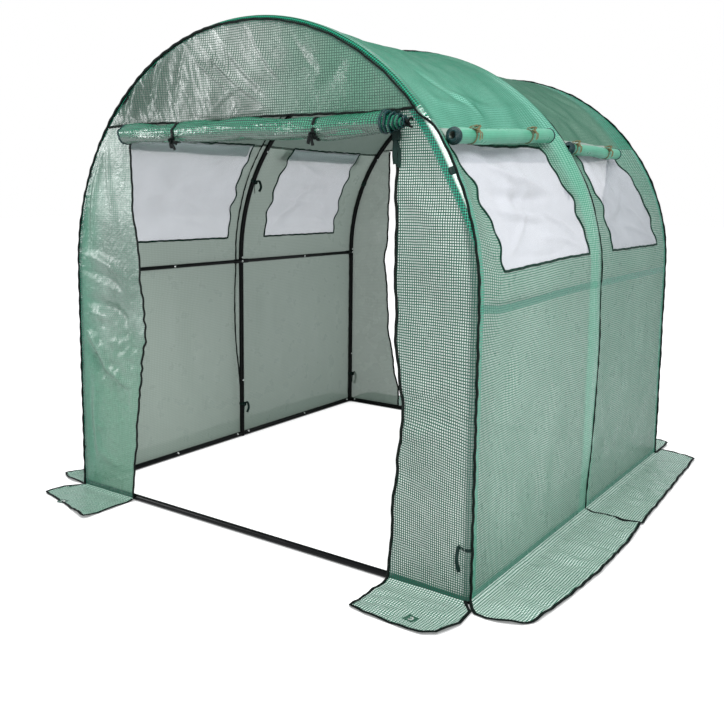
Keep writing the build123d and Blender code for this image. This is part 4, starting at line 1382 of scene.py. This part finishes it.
# ---------------------------------------------------------------- patches round the eyelets

patch_parts = []
for x0, y0, _ in EYELETS:
    a = 0.2 * np.sign(x0 * y0)
    gx, gy = np.meshgrid(np.linspace(-0.021, 0.021, 9), np.linspace(-0.019, 0.019, 9), indexing="ij")
    x, y = x0 + gx * math.cos(a) - gy * math.sin(a), y0 + gx * math.sin(a) + gy * math.cos(a)
    z = GROUND + 0.0012 + 0.0004 * waves(x, y, 151, 0.03)
    points, uv = np.stack([x, y, z], -1).reshape(-1, 3), np.stack([gx, gy], -1).reshape(-1, 2)
    patch_parts.append((points, [tuple(f) for f in grid_faces(9, 9)], uv))
joined("eyelet_patches", patch_parts, patch_film)

# ---------------------------------------------------------------- stage

scene = bpy.context.scene
g = Graph("studio", "worlds")
daylight = g.add("Background", {"Color": (0.92, 0.96, 1.0, 1), "Strength": 0.72})
seen = g.add("Background", {"Color": (1, 1, 1, 1), "Strength": 1.0})
to_camera = g.add("LightPath", output="Is Camera Ray")
scene.world = g.done(g.mix_shader(to_camera, daylight, seen), "OutputWorld")

g = Graph("pale_floor")
to_camera = g.add("LightPath", output="Is Camera Ray")
matt = g.add("BsdfDiffuse", {"Color": (0.86, 0.86, 0.86, 1)})
# The floor glows white to the camera, dimmer where ambient occlusion finds things close by: painted contact
# shadow.
open_share = g.add("AmbientOcclusion", {"Distance": 0.07}, "AO", samples=8)
lit = g.add("Emission", {"Color": (1, 1, 1, 1), "Strength": g.step(open_share, 0.25, 0.85, 0.35, 1.5)})
floor_paint = g.done(g.mix_shader(g.times(to_camera, 0.62), matt, lit))
bpy.ops.mesh.primitive_plane_add(size=80, location=(0, 0, 0))
floor = bpy.context.object
floor.name = "floor"
floor.data.materials.append(floor_paint)


def area_light(name, place, target, size, power):
    data = bpy.data.lights.new(name, "AREA")
    data.shape = "RECTANGLE"
    data.size, data.size_y = size
    data.energy = power
    obj = bpy.data.objects.new(name, data)
    obj.location = place
    obj.rotation_euler = (Vector(target) - Vector(place)).to_track_quat("-Z", "Y").to_euler()
    scene.collection.objects.link(obj)


area_light("key", (3.2, -3.4, 4.6), (0, 0, 0.9), (2.4, 2.4), 330)
area_light("fill", (-4.2, -3.3, 2.2), (0, 0, 0.9), (1.5, 1.9), 92)
area_light("top", (0.3, 1.6, 5.0), (0, 0, 1.2), (3.0, 3.0), 80)

CAMERA_PLACE = (2.2106, -3.5051, 1.3334)
YAW, PITCH, ROLL = -0.6235, 0.1265, 0.0081
forward = Vector((math.sin(YAW) * math.cos(PITCH), math.cos(YAW) * math.cos(PITCH), -math.sin(PITCH)))
level = Vector((math.cos(YAW), -math.sin(YAW), 0))
upright = level.cross(forward)
to_right = level * math.cos(ROLL) + upright * math.sin(ROLL)
to_top = -level * math.sin(ROLL) + upright * math.cos(ROLL)
camera_data = bpy.data.cameras.new("camera")
camera_data.sensor_width = 36.0
camera_data.lens = 42.85
camera_data.shift_x = 0.0312
camera_data.shift_y = -0.0770
camera = bpy.data.objects.new("camera", camera_data)
turned = Matrix((to_right, to_top, -forward)).transposed().to_4x4()
camera.matrix_world = Matrix.Translation(CAMERA_PLACE) @ turned
scene.collection.objects.link(camera)
scene.camera = camera
scene.view_settings.view_transform = "Standard"
